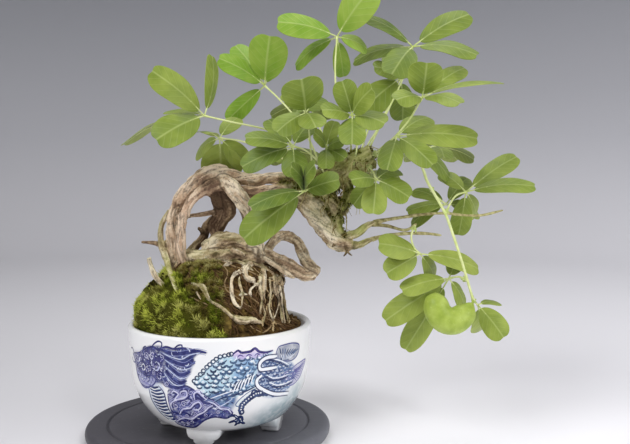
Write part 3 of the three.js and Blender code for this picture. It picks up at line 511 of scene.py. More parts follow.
CLOUD_SCROLLS = [
    [(-23.8, 21.6), (-24, 25.2), (-20, 28), (-14.8, 29.6), (-12.8, 31.5), (-13.3, 33.6), (-16.2, 32.9),
     (-17, 30.9)],
    [(-19.9, 19.6), (-16.6, 23.1), (-12.1, 24.1), (-9.4, 26.6), (-6.5, 27.9), (-5.4, 25.6), (-7.5, 23.2),
     (-10.2, 23.4)],
    [(-8.6, 28.9), (-8.9, 32.3), (-6.6, 33.5), (-4.5, 31.4), (-2.5, 29.7)],
    [(-25.1, 14.3), (-18, 17.3), (-12.7, 17.1), (-8.2, 20), (-4.2, 22.1), (-1.7, 24.5), (1.1, 26.3)],
    [(-1.5, 28.4), (1.7, 27.2), (5, 24.4), (9.4, 23.4), (11.6, 20.8)],
    [(-22.4, 31.4), (-20.6, 33), (-17.8, 31.6), (-19.6, 29.4), (-21.6, 26.8)],
]
CLOUD_SHADOWS = [
    [(-25.4, 22.7), (-23.3, 19.8), (-16.6, 21.3), (-13.2, 19.6), (-9.2, 20.6), (-4.6, 23.9)],
    [(-12.5, 29.8), (-10.3, 28.8), (-7.4, 30.1), (-3.7, 27.9), (-0.5, 26.8)],
    [(-24.5, 16.6), (-20, 15), (-15, 15.2), (-10.4, 16.6), (-5, 19), (1, 21)],
    [(-20, 13), (-15, 13.2), (-11, 14.4)],
]


def rounded(outline, spacing=1.0):
    """A closed outline with its corners rounded."""
    closed = [*outline[-2:], *outline, *outline[:2]]
    path = smooth_path([(*point, 0) for point in closed], spacing)
    first = min(range(len(path)), key=lambda i: math.dist(path[i][:2], outline[0]))
    steps = len(path) - first
    lap = next((i for i in range(3, steps) if math.dist(path[first + i][:2], outline[0]) < 1e-6), steps)
    return [(row[0], row[1]) for row in path[first:first + lap]]


def depth_inside(outline, around, up):
    """How far inside an outline each place lies, in millimetres, and negative outside it."""
    within = np.zeros(around.shape, dtype=bool)
    nearest = np.full(around.shape, 1e9)
    for (x0, y0), (x1, y1) in zip(outline, outline[1:] + outline[:1]):
        if abs(x1 - x0) + abs(y1 - y0) < 1e-9:
            continue
        rise = y1 - y0 if abs(y1 - y0) > 1e-9 else 1e-9
        within ^= ((y0 > up) != (y1 > up)) & (around < (x1 - x0) * (up - y0) / rise + x0)
        length = (x1 - x0) ** 2 + (y1 - y0) ** 2
        share = np.clip(((around - x0) * (x1 - x0) + (up - y0) * (y1 - y0)) / length, 0, 1)
        gap = np.hypot(around - x0 - share * (x1 - x0), up - y0 - share * (y1 - y0))
        nearest = np.minimum(nearest, gap)
    return np.where(within, nearest, -nearest)


def washes():
    """The soft tints, in the order they are laid: outline, colour, softness and strength."""
    return [
        # The first wash is painted shade, not part of the dragon.
        (PAINTED_SHADE_PATCH, (152, 174, 180), 8, 0.9),
        (HEAD, (28, 46, 112), 0.8, 1),
        (FACE, (52, 50, 126), 2.4, 0.8),
        (MUZZLE, (176, 176, 220), 1.8, 0.85),
        (BELLY, (206, 216, 232), 0.6, 0.85),
        (CLOUD, (60, 72, 144), 0.8, 1),
        (BODY, (178, 212, 228), 0.9, 0.95),
        (BODY_RIGHT, (120, 160, 204), 2.4, 0.9),
        (FLANK, (66, 102, 156), 1.6, 0.95),
        ([*CREST, (24, 50), (14, 50.6)], (206, 180, 224), 1.0, 0.75),
        (TAIL_COIL, (126, 150, 190), 1.2, 0.9),
        (PLUME, (118, 128, 154), 1.0, 0.85),
        (FIN, (168, 164, 202), 1.0, 0.85),
        (LEG, (214, 228, 232), 1.0, 0.5),
    ]


def paint_washes(piece):
    """Lays the tints on the pot's glaze, as a colour kept on each of its vertices."""
    places, _ = mesh_arrays(piece.data)
    right = places[:, 0] - POT_X
    back = places[:, 1] - POT_Y
    up = (places[:, 2] - STAND_TOP) / MM
    outside = np.hypot(right, back) / MM > np.interp(up, *zip(*[(z, r - 1) for r, z in POT_OUTSIDE]))
    colours = np.tile(np.array(linear(*GLAZE_WHITE)), (len(places), 1))
    pool = np.array([0.9 + 0.4 * noise.noise(Vector(place) * 260) + 0.3 * noise.noise(Vector(place) * 650)
                     for place in places])
    for turn in PAINTING_TURNS:
        angle = np.arctan2(back, right) + math.pi / 2 - math.radians(turn)
        around = ((angle + math.pi) % math.tau - math.pi) * PAINT_RADIUS
        for outline, colour, softness, strength in washes():
            depth = depth_inside(rounded(outline), around, up)
            cover = np.clip(depth / softness * 0.5 + 0.5, 0, 1)
            cover = (cover * cover * (3 - 2 * cover) * strength * np.minimum(pool, 1) * outside)[:, None]
            colours += (np.array(linear(*colour)) - colours) * cover
    layer = piece.data.attributes.new("painting", "FLOAT_COLOR", "POINT")
    layer.data.foreach_set("color", colours.astype(np.float32).ravel())


class Brushwork:
    """Collects the painted lines. Tone runs from dark ink, 0, to the white of the glaze, 1."""

    def __init__(self):
        self.lines = []

    def line(self, points, width=0.7, tone=0.1, violet=0.3, layer=1, teal=0.0):
        self.lines.append((points, width, (tone, violet, teal), layer))

    def spiral(self, centre, radius, turns=1.4, start=0, **style):
        count = int(9 * abs(turns)) + 3
        points = []
        for index in range(count):
            share = index / (count - 1)
            angle = math.radians(start) + share * turns * math.tau
            reach = radius * (1 - 0.86 * share)
            points.append((centre[0] + math.cos(angle) * reach, centre[1] + math.sin(angle) * reach))
        self.line(points, **style)

    def ring(self, centre, radius, **style):
        points = [(centre[0] + math.cos(step) * radius, centre[1] + math.sin(step) * radius)
                  for step in [index / 8 * math.tau for index in range(10)]]
        self.line(points, **style)

    def band(self, points, width, tone=0.95, violet=0.2, layer=2):
        self.line(points, width, tone, violet, layer)
        for side in (-1, 1):
            self.line(shifted(points, side * width / 2), 0.75, 0.0, 0.1, layer + 1, 0.4)

    def dabs(self, outline, count, tones, violet, teal=0.0, slant=0.0, layer=1):
        """Short curved strokes strewn over the inside of an outline."""
        draw = random.Random(count)
        low = np.min(outline, axis=0)
        high = np.max(outline, axis=0)
        spots = [(draw.uniform(low[0], high[0]), draw.uniform(low[1], high[1])) for _ in range(count * 3)]
        depths = depth_inside(outline, np.array([spot[0] for spot in spots]),
                              np.array([spot[1] for spot in spots]))
        inside = [spot for spot, depth in zip(spots, depths) if depth > 0.7]
        for x, y in inside[:count]:
            angle = slant + draw.gauss(0, 0.6)
            reach = draw.uniform(0.7, 1.5)
            bend = draw.uniform(-0.6, 0.6)
            ahead = (math.cos(angle) * reach, math.sin(angle) * reach)
            points = [(x - ahead[0], y - ahead[1]), (x - ahead[1] * bend, y + ahead[0] * bend),
                      (x + ahead[0], y + ahead[1])]
            self.line(points, draw.uniform(0.4, 0.85), draw.choice(tones), violet, layer, teal)

    def curl(self, centre, radius, start, violet=0.5):
        """A pale curl with the dark stroke that sets it off."""
        self.spiral(centre, radius * 1.25, 1.0, start + 15, width=radius * 0.5, tone=0.0, violet=violet,
                    layer=1)
        self.spiral(centre, radius, 1.35, start, width=radius * 0.24, tone=0.78, violet=violet, layer=2)


def shifted(points, distance):
    """The same line moved sideways."""
    moved = []
    for index, (x, y) in enumerate(points):
        ahead = points[min(index + 1, len(points) - 1)]
        behind = points[max(index - 1, 0)]
        length = math.dist(ahead, behind) or 1
        moved.append((x - (ahead[1] - behind[1]) / length * distance,
                      y + (ahead[0] - behind[0]) / length * distance))
    return moved


def between(first, last, share, rise=0.0):
    return (first[0] + (last[0] - first[0]) * share, first[1] + (last[1] - first[1]) * share + rise)


def draw_head(work):
    work.dabs(HEAD, 190, (0.0, 0.0, 0.0, 0.2, 0.8), 0.2, slant=0.2)
    work.dabs(FACE, 90, (0.0, 0.0, 0.0, 0.6, 0.85), 0.8, slant=1.2)
    for lock in MANE_LOCKS:
        work.line(lock, 2.1, 0.0, 0.25)
        for distance in (-1.25, 1.15):
            work.line(shifted(lock, distance), 0.4, 0.4, 0.35, 2)
    for glint in MANE_GLINTS:
        work.line(glint, 0.6, 0.76, 0.2, 3)
    work.line(BROW, 1.3, 0.0, 0.4)
    for curl in TOP_CURLS:
        work.line(curl, 0.95, 0.0, 0.2, 2)
    work.dabs(FACE, 70, (0.0, 0.0, 0.15), 0.4, slant=0.8, layer=4)
    work.curl((-31, 46), 4.6, 70, 0.4)
    curls = [((-38.6, 49.6), 2.2, 20), ((-33.4, 51.6), 1.9, 120), ((-45, 46.6), 2, 200),
             ((-37.2, 43.4), 2, 300),
             ((-29.2, 39.8), 2.3, 40), ((-24.8, 36.6), 1.7, 160), ((-26.8, 50.6), 1.5, 250),
             ((-48.6, 44.6), 1.5, 90), ((-33.4, 41.2), 1.4, 0), ((-42.6, 50.4), 1.2, 60)]
    for centre, radius, start in curls:
        work.curl(centre, radius, start, 0.7)
    work.ring((-42.2, 42.9), 1.7, width=0.8, tone=0.95, layer=3)
    work.ring((-42.2, 42.9), 0.7, width=1.1, tone=0.0, layer=4)
    work.line([(-46, 45), (-42.4, 46), (-39.4, 44.2)], 1.2, 0.0, layer=3)
    work.line(JAW, 0.9, 0.05, 0.4, 2)
    for tooth in range(6):
        spot = between((-48, 39.6), (-35, 38.2), tooth / 5)
        work.line([spot, (spot[0] + 0.5, spot[1] - 2)], 0.8, 0.1, 0.4, 2)
    for whisker in range(4):
        start = (-46 + whisker * 2.6, 35.4 - whisker * 0.3)
        work.line([start, (start[0] + 2.4, start[1] - 1), (start[0] + 4.6, start[1] + 0.4)], 0.5, 0.3, 0.6, 2)
    work.line([(-55, 48), (-52.4, 46), (-51.6, 42), (-50.4, 37), (-47.6, 33.4), (-43, 31.4), (-38, 32.4)],
              0.9, 0.05)
    work.line([(-52, 48.5), (-55, 51), (-58, 50.4)], 1.0, 0.0)
    work.line([(-51, 44), (-55, 43.4), (-57.4, 46)], 0.8, 0.05)


def draw_belly(work):
    left = [(-38, 33), (-37.8, 31), (-37.8, 28.8), (-37.8, 26.4), (-37.4, 24.2), (-36.4, 22), (-35.4, 19.7),
            (-33.6, 17.2),
            (-31, 15.4)]
    right = [(-30.6, 34.6), (-28.4, 32.8), (-27, 30.6), (-26.8, 28.3), (-26.8, 26), (-26.8, 23.7),
             (-26.5, 21.2), (-25.8, 18.6),
             (-24.7, 16.4)]
    plates = 11
    for plate in range(plates):
        spot = plate / (plates - 1) * (len(left) - 1)
        index = min(int(spot), len(left) - 2)
        start = between(left[index], left[index + 1], spot - index, 0.4)
        end = between(right[index], right[index + 1], spot - index, -0.6)
        work.line([start, between(start, end, 0.5, -0.8), end], 1.4, 0.0, 0.05, 1, 0.3)
        work.line([between(start, end, 0.08, -0.95), between(start, end, 0.5, -1.75),
                   between(start, end, 0.92, -0.95)], 0.6, 1.0, 0.05, 2)
    work.line(shifted(left, -1.2), 1.0, 0.0, 0.05, 1, 0.4)
    work.line(right, 0.9, 0.0, 0.2)


def draw_clouds(work):
    work.dabs(CLOUD, 150, (0.0, 0.0, 0.1, 0.6, 0.85), 0.7, slant=0.3)
    work.line(rounded(CLOUD)[:-1], 1.2, 0.0, 0.35, 1)
    for shadow in CLOUD_SHADOWS:
        work.line(shadow, 1.7, 0.0, 0.3)
    for scroll in CLOUD_SCROLLS:
        work.line(shifted(scroll, -1.0), 1.1, 0.0, 0.4)
        work.line(scroll, 0.95, 0.8, 0.8, 3)
        work.line(shifted(scroll, 1.1), 0.45, 0.55, 0.8, 2)
    curls = [((-20.8, 24.6), 1.9, 90), ((-15.4, 26.2), 1.8, 20), ((-9.6, 20.6), 1.6, 200),
             ((-22, 17.4), 1.6, 130),
             ((-15.2, 18.8), 1.4, 300), ((-3.4, 25.2), 1.5, 60), ((-16.4, 13.6), 1.5, 10),
             ((-10.6, 33), 1.6, 120),
             ((-3.6, 20.2), 1.4, 220), ((4, 21.8), 1.4, 40), ((-23.2, 29), 1.2, 0)]
    for centre, radius, start in curls:
        work.curl(centre, radius, start, 0.8)


def draw_scales(work, outline, bare, size, tone, violet, teal, glint):
    """Staggered rows of curved scales inside an outline but not in its bare part, a little uneven."""
    draw = random.Random(len(outline))
    low = np.min(outline, axis=0)
    high = np.max(outline, axis=0)
    rise = size * 0.66
    for row in range(int((high[1] - low[1]) / rise)):
        for column in range(int((high[0] - low[0]) / size) + 1):
            x = low[0] + (column + row % 2 / 2) * size + draw.uniform(-0.2, 0.2) * size
            y = low[1] + (row + 0.5) * rise + draw.uniform(-0.17, 0.17) * size
            spot = (np.array([x]), np.array([y]))
            if depth_inside(outline, *spot)[0] < size * 0.25 or depth_inside(bare, *spot)[0] > 0.5:
                continue
            reach = size * draw.uniform(0.44, 0.56)
            sag = draw.uniform(0.8, 1.1) * reach
            arc = [(x + math.cos(angle) * reach, y + math.sin(angle) * sag)
                   for angle in [math.radians(190 + step * 40) for step in range(5)]]
            paler = 0.26 * (x - low[0]) / (high[0] - low[0])
            work.line(arc, draw.uniform(0.9, 1.6), tone + paler + draw.uniform(-0.08, 0.08), violet, 1, teal)
            if draw.random() < 0.72:
                work.line([(x - size * 0.22, y - size * 0.02), (x + size * 0.2, y - size * 0.08)],
                          glint * draw.uniform(0.6, 1.15), draw.uniform(0.85, 1), 0.05, 2, teal)


def draw_body(work):
    draw_scales(work, BODY, FLANK, 3.5, 0.0, 0.0, 0.7, 1.7)
    work.dabs(BODY, 90, (0.0, 0.1, 0.25, 0.9), 0.0, 0.7, 0.6)
    work.dabs(FLANK, 26, (0.0, 0.12, 0.2, 0.8), 0.1, 0.3, 0.5)
    back_line = [(-8.9, 38.2), (-5.5, 41.8), (-2, 45.9), (1.2, 48.8), (4.6, 51.6), (9.3, 52.6), (12, 53.2)]
    for start, end in zip(back_line, back_line[1:]):
        for share in (0.15, 0.62):
            work.ring(between(start, end, share, 0.5), 1.05, width=0.85, tone=0.0, violet=0.0, teal=0.8)
    for rib in range(6):
        foot = between((10.9, 32.7), (20.6, 37.2), rib / 5)
        top = between((14, 39), (22.6, 42.2), rib / 5)
        bend = between(foot, top, 0.55, 1.0)
        work.line([foot, bend, top], 1.05, 0.0, 0.0, 2, 0.6)
        work.line([(x + 0.95, y - 0.25) for x, y in (foot, bend, top)], 0.75, 1.0, 0.05, 3)
    work.line(CREST, 1.5, 0.0, 0.9, 2)
    for spine in range(4):
        root = (14 + spine * 4.6, 51.6)
        work.line([root, (root[0] + 1.4, root[1] + 1.1), (root[0] + 3.2, root[1] + 0.2)], 0.7, 0.15, 1.0, 2)
    work.line([(1.7, 27.6), (6, 30), (12, 31.4), (18.4, 33), (24.6, 35.2)], 1.1, 0.0, 0.05, 2, 0.5)
    work.line([(0, 30), (5, 31.8), (10, 33.4), (15, 34.2)], 0.7, 0.9, 0.1, 3)
    work.line([(2.4, 24.6), (7, 26.4), (11.6, 29.4)], 0.6, 0.75, 0.1, 2)


def draw_tail(work):
    draw_scales(work, TAIL_COIL, PLUME, 2.9, 0.1, 0.15, 0.45, 0.9)
    work.dabs(TAIL_COIL, 70, (0.05, 0.15, 0.3, 0.75), 0.2, 0.4, 0.4)
    for fold in TAIL_FOLDS:
        work.line(fold, 1.2, 0.0, 0.15, 2, 0.4)
        work.line(shifted(fold, 1.2), 0.8, 0.92, 0.1, 2)
    for loop in TAIL_LOOPS:
        work.band(loop, 2.3, 1.0, 0.1, 3)
    work.line(rounded(PLUME)[:-1], 0.8, 0.12, 0.3)
    for ray in range(8):
        tip = between((38.4, 53.6), (54, 50.4), ray / 7, 0.2)
        foot = (40.4 + ray * 0.7, 46.4)
        work.line([foot, between(foot, tip, 0.6, 0.7), tip], 1.0, 0.04 + 0.08 * (ray % 3), 0.15, 1, 0.5)
        work.line([(foot[0] + 0.8, foot[1] + 0.3), between(foot, tip, 0.62, -0.3)], 0.6, 0.9, 0.2, 2)
    work.line(rounded(FIN)[:-1], 0.7, 0.2, 0.6)
    for ray in range(9):
        tip = between((64.6, 41.8), (55, 32.6), ray / 8)
        work.line([(44 + ray * 0.4, 38.6 - ray * 0.7), between((47, 37), tip, 0.5, 0.5), tip], 0.6,
                  0.18 + 0.14 * (ray % 2), 0.6)


def draw_leg(work):
    work.line(rounded(LEG)[:-1], 0.6, 0.2, 0.1, 2, 0.5)
    work.line(rounded(ANKLE)[:-1], 1.4, 0.0, 0.0, 2, 0.4)
    for start, end in zip(CHAIN, CHAIN[1:]):
        for share in (0, 0.5):
            work.ring(between(start, end, share), 1.25, width=1.5, tone=0.0, violet=0.0, layer=3, teal=0.4)
            work.ring(between(start, end, share, 0.2), 0.25, width=0.6, tone=0.95, violet=0.0, layer=4)
    work.ring(CLAW, 1.9, width=2.6, tone=0.0, violet=0.0, layer=2, teal=0.4)
    for reach, rise in ((-7.4, 2.6), (-6.8, -1.4), (-2.6, -3.8), (4.6, -3.2)):
        middle = (CLAW[0] + reach * 0.5, CLAW[1] + rise * 0.9 + 0.8)
        work.line([CLAW, middle, (CLAW[0] + reach, CLAW[1] + rise)], 1.9, 0.0, 0.0, 2, 0.4)
        work.line([between(CLAW, middle, 0.4, 0.3), between(middle, CLAW, 0.1, 0.3)], 0.5, 0.85, 0.0, 3)


def pot_radius(up):
    """The radius of the bowl's outside at a height, both in millimetres."""
    radii, heights = zip(*rounded_profile())
    return np.interp(up, heights, radii)


def brush_line(build, bowl, points, width, ink, layer, turn):
    """A painted line as a very low flat ridge on the glaze, thinner towards its two ends."""
    path = smooth_path([(*point, 0) for point in points], 0.9)
    count = len(path)
    top = 0.012 + 0.016 * layer
    section = ((-1, -0.012), (0, -0.12), (1, -0.012), (0.82, top), (-0.82, top))
    corners = len(section)
    vertices = []
    for index, row in enumerate(path):
        way = path[min(index + 1, count - 1)] - path[max(index - 1, 0)]
        way /= np.linalg.norm(way) or 1
        share = index / (count - 1)
        half = width / 2 * (0.4 + 0.6 * math.sin(math.pi * share) ** 0.6)
        for sideways, lift in section:
            around, up = row[0] - way[1] * half * sideways, row[1] + way[0] * half * sideways
            angle = around / PAINT_RADIUS - math.pi / 2 + math.radians(turn)
            radius = bowl(up) + lift
            vertices.append(by_pot(math.cos(angle) * radius, math.sin(angle) * radius, up))
    faces = [tuple(reversed(range(corners))), *ring_faces(count - 1, corners)]
    faces.append(tuple((count - 1) * corners + corner for corner in range(corners)))
    build.add(vertices, faces, mark=ink)


def cobalt_material():
    paint = Paint("cobalt_brushwork", roughness=0.22, specular=0.35, coat=0.12)
    tone, violet, teal = paint.marks()
    pooling = paint.noise(330, 4)
    shade = paint.math("ADD", tone, paint.grey(pooling, 0.35, 0.75, -0.04, 0.14))
    blue = paint.ramp(shade, (0.0, (28, 38, 96)), (0.3, (80, 100, 162)), (0.7, (178, 196, 228)),
                      (1.0, (246, 248, 252)))
    lilac = paint.ramp(shade, (0.0, (44, 34, 104)), (0.3, (108, 96, 170)), (0.7, (186, 180, 226)),
                       (1.0, (246, 246, 252)))
    slate = paint.ramp(shade, (0.0, (30, 52, 76)), (0.3, (86, 124, 152)), (0.7, (178, 208, 224)),
                       (1.0, (246, 249, 252)))
    paint.colour(paint.mix(teal, paint.mix(violet, blue, lilac), slate))
    paint.bump(pooling, 0.0001, 0.15)
    return paint.material


def make_painting():
    work = Brushwork()
    for draw_part in (draw_clouds, draw_belly, draw_body, draw_tail, draw_leg, draw_head):
        draw_part(work)
    heights = np.linspace(POT_OUTSIDE[0][1], POT_OUTSIDE[-1][1], 200)
    radii = pot_radius(heights)

    def bowl(up):
        return float(np.interp(up, heights, radii))

    build = Build()
    for turn in PAINTING_TURNS:
        for points, width, ink, layer in work.lines:
            brush_line(build, bowl, points, width, ink, layer, turn)
    build.piece("pot_brushwork", [cobalt_material()], "porcelain")


# Mound of earth

# The mound's outline as [radius, height] towards each side, which is an angle from the right.
MOUND_SIDES = [
    (0, [(46, 60), (40, 62.5), (36, 67), (35, 78), (36, 86), (29, 94)]),
    (90, [(45, 60), (41, 64), (38, 71), (36, 80), (32, 88), (22, 94.5)]),
    (180, [(45.4, 60), (45.2, 70), (41, 77), (33, 84.5), (27.5, 90), (20, 95)]),
    (270, [(45, 60), (42, 66), (38, 74), (33, 82), (27, 89), (20, 95)]),
]
MOUND_CROWN = 96.5
MOUND_HEART = 66
EARTH_HEART = 62

# The earth inside the pot, from the rim down, as [radius, height].
BURIED_EARTH = [(45, 56), (40, 22), (30, 15), (12, 14)]

# From where to where the line of sight is searched for the mound, its step, and the depth if it misses.
SIGHT_START = -60
SIGHT_END = 20
SIGHT_STEP = 0.5
SIGHT_MISSED = -10

# Where the earth turns olive and where a pale skirt lies, from right to left in metres, and the
# skirt's heights in millimetres.
OLIVE_SIDE = (0.022, 0.002)
SKIRT_SIDE = (0.02, 0.0)
SKIRT_HEIGHTS = (82, 91)


def mound_outline(angle):
    """The mound's [radius, height] rows towards one side, blended from its four sides."""
    blended = np.zeros((6, 2))
    for side, outline in MOUND_SIDES:
        weight = max(0, math.cos(angle - math.radians(side))) ** 2
        blended += np.array(outline) * weight
    return blended


def mound_at(angle, share):
    """A place on the mound: share runs from the rim, 0, over the shoulder to the crown, 1."""
    outline = np.vstack([mound_outline(angle), [0.01, MOUND_CROWN]])
    along = share * (len(outline) - 1)
    row = min(int(along), len(outline) - 2)
    t = along - row
    before = outline[max(row - 1, 0)]
    after = outline[min(row + 2, len(outline) - 1)]
    start, end = outline[row], outline[row + 1]
    radius, up = curve_point(before, start, end, after, t)
    return by_pot(radius * math.cos(angle), radius * math.sin(angle), up)


def mound_radius(angle, up):
    """How far the mound reaches from its axis at a height, both in millimetres."""
    outline = list(mound_outline(angle)) + [np.array([0.0, MOUND_CROWN])]
    if up > MOUND_CROWN:
        return 0
    for low, high in zip(reversed(outline[:-1]), reversed(outline[1:])):
        if up >= low[1]:
            return low[0] + (high[0] - low[0]) * (up - low[1]) / (high[1] - low[1])
    return outline[0][0]


def out_of_mound(place, heart=MOUND_HEART):
    """The way straight out of the mound at a place on it."""
    return (place - by_pot(0, 0, heart)).normalized()

def on_mound(right, up):
    """How far back the mound is met on the line of sight through a point of the front view."""
    back = SIGHT_START
    while back < SIGHT_END:
        reach = 1 + back / EYE_DISTANCE
        x = EYE_RIGHT + (right - EYE_RIGHT) * reach
        z = EYE_UP + (up - EYE_UP) * reach
        if math.hypot(x, back) < mound_radius(math.atan2(back, x), z):
            return back
        back += SIGHT_STEP
    return SIGHT_MISSED


# Where loose clods lie: first and last angle, lowest and highest share, and how many.
CLOD_PATCHES = [(176, 236, 0.42, 0.66, 70), (250, 285, 0.02, 0.12, 24), (-80, 60, 0.03, 0.5, 90)]


def earth_material():
    paint = Paint("damp_earth", roughness=0.9, specular=0.1)
    lumps = paint.noise(260, 6)
    patches = paint.noise(45, 3)
    depth, _, _ = paint.marks()
    base = paint.ramp(lumps, (0.3, (40, 29, 13)), (0.5, (82, 64, 33)), (0.72, (138, 114, 60)))
    where = paint.node("ShaderNodeSeparateXYZ")
    paint.feed(where.inputs[0], paint.place())
    leftward = paint.grey(where.outputs[0], *OLIVE_SIDE, 0, 0.8)
    olive = paint.mix(leftward, base, paint.ramp(lumps, (0.3, (42, 46, 12)), (0.7, (102, 104, 42))))
    reddish = paint.mix(paint.grey(patches, 0.42, 0.65, 0, 0.5), olive, linear(92, 60, 38))
    high = paint.grey(where.outputs[2], *[STAND_TOP + up * MM for up in SKIRT_HEIGHTS], 0, 0.85)
    skirt = paint.ramp(lumps, (0.3, (92, 78, 34)), (0.7, (168, 148, 92)))
    at_skirt = paint.math("MULTIPLY", high, paint.grey(where.outputs[0], *SKIRT_SIDE))
    topped = paint.mix(at_skirt, reddish, skirt)
    # Painted shade: the earth turns dark brown where its lumps dip into hollows; loose clods are darkened by
    # a random amount of their own.
    paint.colour(paint.mix(paint.grey(depth, -1, 0.2, 0.7, 0), topped, linear(40, 28, 12)))
    paint.bump(lumps, 0.0012, 0.8)
    return paint.material


def make_earth():
    build = Build()
    segments, rows = 300, 100
    vertices, marks = [], []
    for row in range(rows + 1):
        for segment in range(segments):
            angle = segment / segments * math.tau
            share = row / rows
            point = mound_at(angle, share)
            outward = out_of_mound(point, EARTH_HEART)
            lump = noise.fractal(point * 160, 0.9, 2.2, 4)
            crumb = noise.noise(point * 420)
            fade = min(1, share * 12) * min(1, (1 - share) * 6 + 0.15)
            push = (lump * 1.5 + crumb * 0.5 - 0.35) * fade
            vertices.append(point + outward * push * MM)
            # How high the lump stands, from which the material paints shade into the hollows.
            marks.append((lump + crumb * 0.4, 0, 0))
    faces = ring_faces(rows, segments)
    ring_above = 0
    for radius, up in BURIED_EARTH:
        start = len(vertices)
        vertices += ring_places(radius * MM, STAND_TOP + up * MM, segments, (POT_X, POT_Y))
        marks += [(0, 0, 0)] * segments
        for segment in range(segments):
            after = (segment + 1) % segments
            faces.append((start + segment, start + after, ring_above + after, ring_above + segment))
        ring_above = start
    faces.append(tuple(ring_above + segment for segment in reversed(range(segments))))
    faces.append(tuple(rows * segments + segment for segment in range(segments)))
    build.add(vertices, faces, marks=marks)
    draw = random.Random(8)
    for first, last, low, high, count in CLOD_PATCHES:
        for _ in range(count):
            point = mound_at(math.radians(draw.uniform(first, last)), draw.uniform(low, high))
            clod(build, point, draw.uniform(0.5, 1.5) * MM, draw)
    build.piece("earth_mound", [earth_material()], "soil", ["root_ball"])


def clod(build, centre, radius, draw, mark=None):
    """A small rough lump of earth."""
    sides, rings = 9, 6
    shift = Vector((draw.uniform(0, 50), draw.uniform(0, 50), 0))
    vertices = []
    for ring in range(1, rings):
        slope = ring / rings * math.pi
        for turn in range(sides):
            angle = turn / sides * math.tau
            way = Vector((math.sin(slope) * math.cos(angle), math.sin(slope) * math.sin(angle),
                          math.cos(slope)))
            vertices.append(centre + way * radius * (1 + 0.5 * noise.noise(way * 1.6 + shift)))
    top = len(vertices)
    vertices += [centre + Vector((0, 0, radius * 0.9)), centre - Vector((0, 0, radius * 0.9))]
    faces = []
    for turn in range(sides):
        after = (turn + 1) % sides
        faces.append((top, turn, after))
        for ring in range(rings - 2):
            faces.append((ring * sides + turn, (ring + 1) * sides + turn, (ring + 1) * sides + after,
                          ring * sides + after))
        last = (rings - 2) * sides
        faces.append((last + turn, top + 1, last + after))
    build.add(vertices, faces, mark=mark or (draw.uniform(-0.5, 0.2), 0, 0))


# Moss

MOSS_FIRST = 120
MOSS_LAST = 284
MOSS_SLANT = 13.5
MOSS_TOP = 0.66
MOSS_TUFTS = 9000
MOSS_FRONDS = 1700
MOSS_CLUMPS = 330
# Small dark clumps by the free roots: (right, up, back, radius).
DARK_CLUMPS = [
    (-39.4, 80.6, -9, 1.7), (-38.6, 82.4, -8, 1.5), (-37, 83.4, -9, 1.6), (-36, 82, -12, 1.8),
    (-38, 79.4, -13, 1.3),
    (-31.6, 87.4, -12, 1.6), (-30, 88.6, -11, 1.3), (-29, 86.6, -15, 1.6), (-32.6, 85.6, -14, 1.2),
]
THIN_MOSS = 5600
THIN_MOSS_ANGLES = (215, 279)
THIN_MOSS_SHARES = (0.04, 0.93)


def moss_place(across, share):
    """A place on the mossy side: across runs round the mound, share from the rim upwards."""
    row = share / MOSS_TOP * 4
    last = MOSS_LAST - MOSS_SLANT * row
    angle = math.radians(MOSS_FIRST + (last - MOSS_FIRST) * across)
    point = mound_at(angle, share)
    step = 0.01
    around_step = mound_at(angle + step, share) - mound_at(angle - step, share)
    up_step = mound_at(angle, min(share + step, 1)) - mound_at(angle, max(share - step, 0))
    return point, around_step.cross(up_step).normalized()


def moss_material():
    paint = Paint("moss", roughness=0.85, specular=0.06)
    height, tone, dry = paint.marks()
    patches = paint.noise(70, 3)
    # Painted shade: blades are marked low at their feet and high at their tips, and the bed under the tufts
    # is marked low, so feet and bed take this dark colour for the shade among the tufts.
    dark = paint.mix(patches, linear(34, 38, 8), linear(58, 48, 16))
    green = paint.ramp(tone, (0.0, (60, 68, 13)), (0.5, (122, 137, 33)), (1.0, (210, 218, 90)))
    brown = paint.ramp(tone, (0.0, (66, 50, 24)), (0.5, (132, 108, 58)), (1.0, (206, 194, 136)))
    paint.colour(paint.mix(height, dark, paint.mix(dry, green, brown)))
    return paint.material


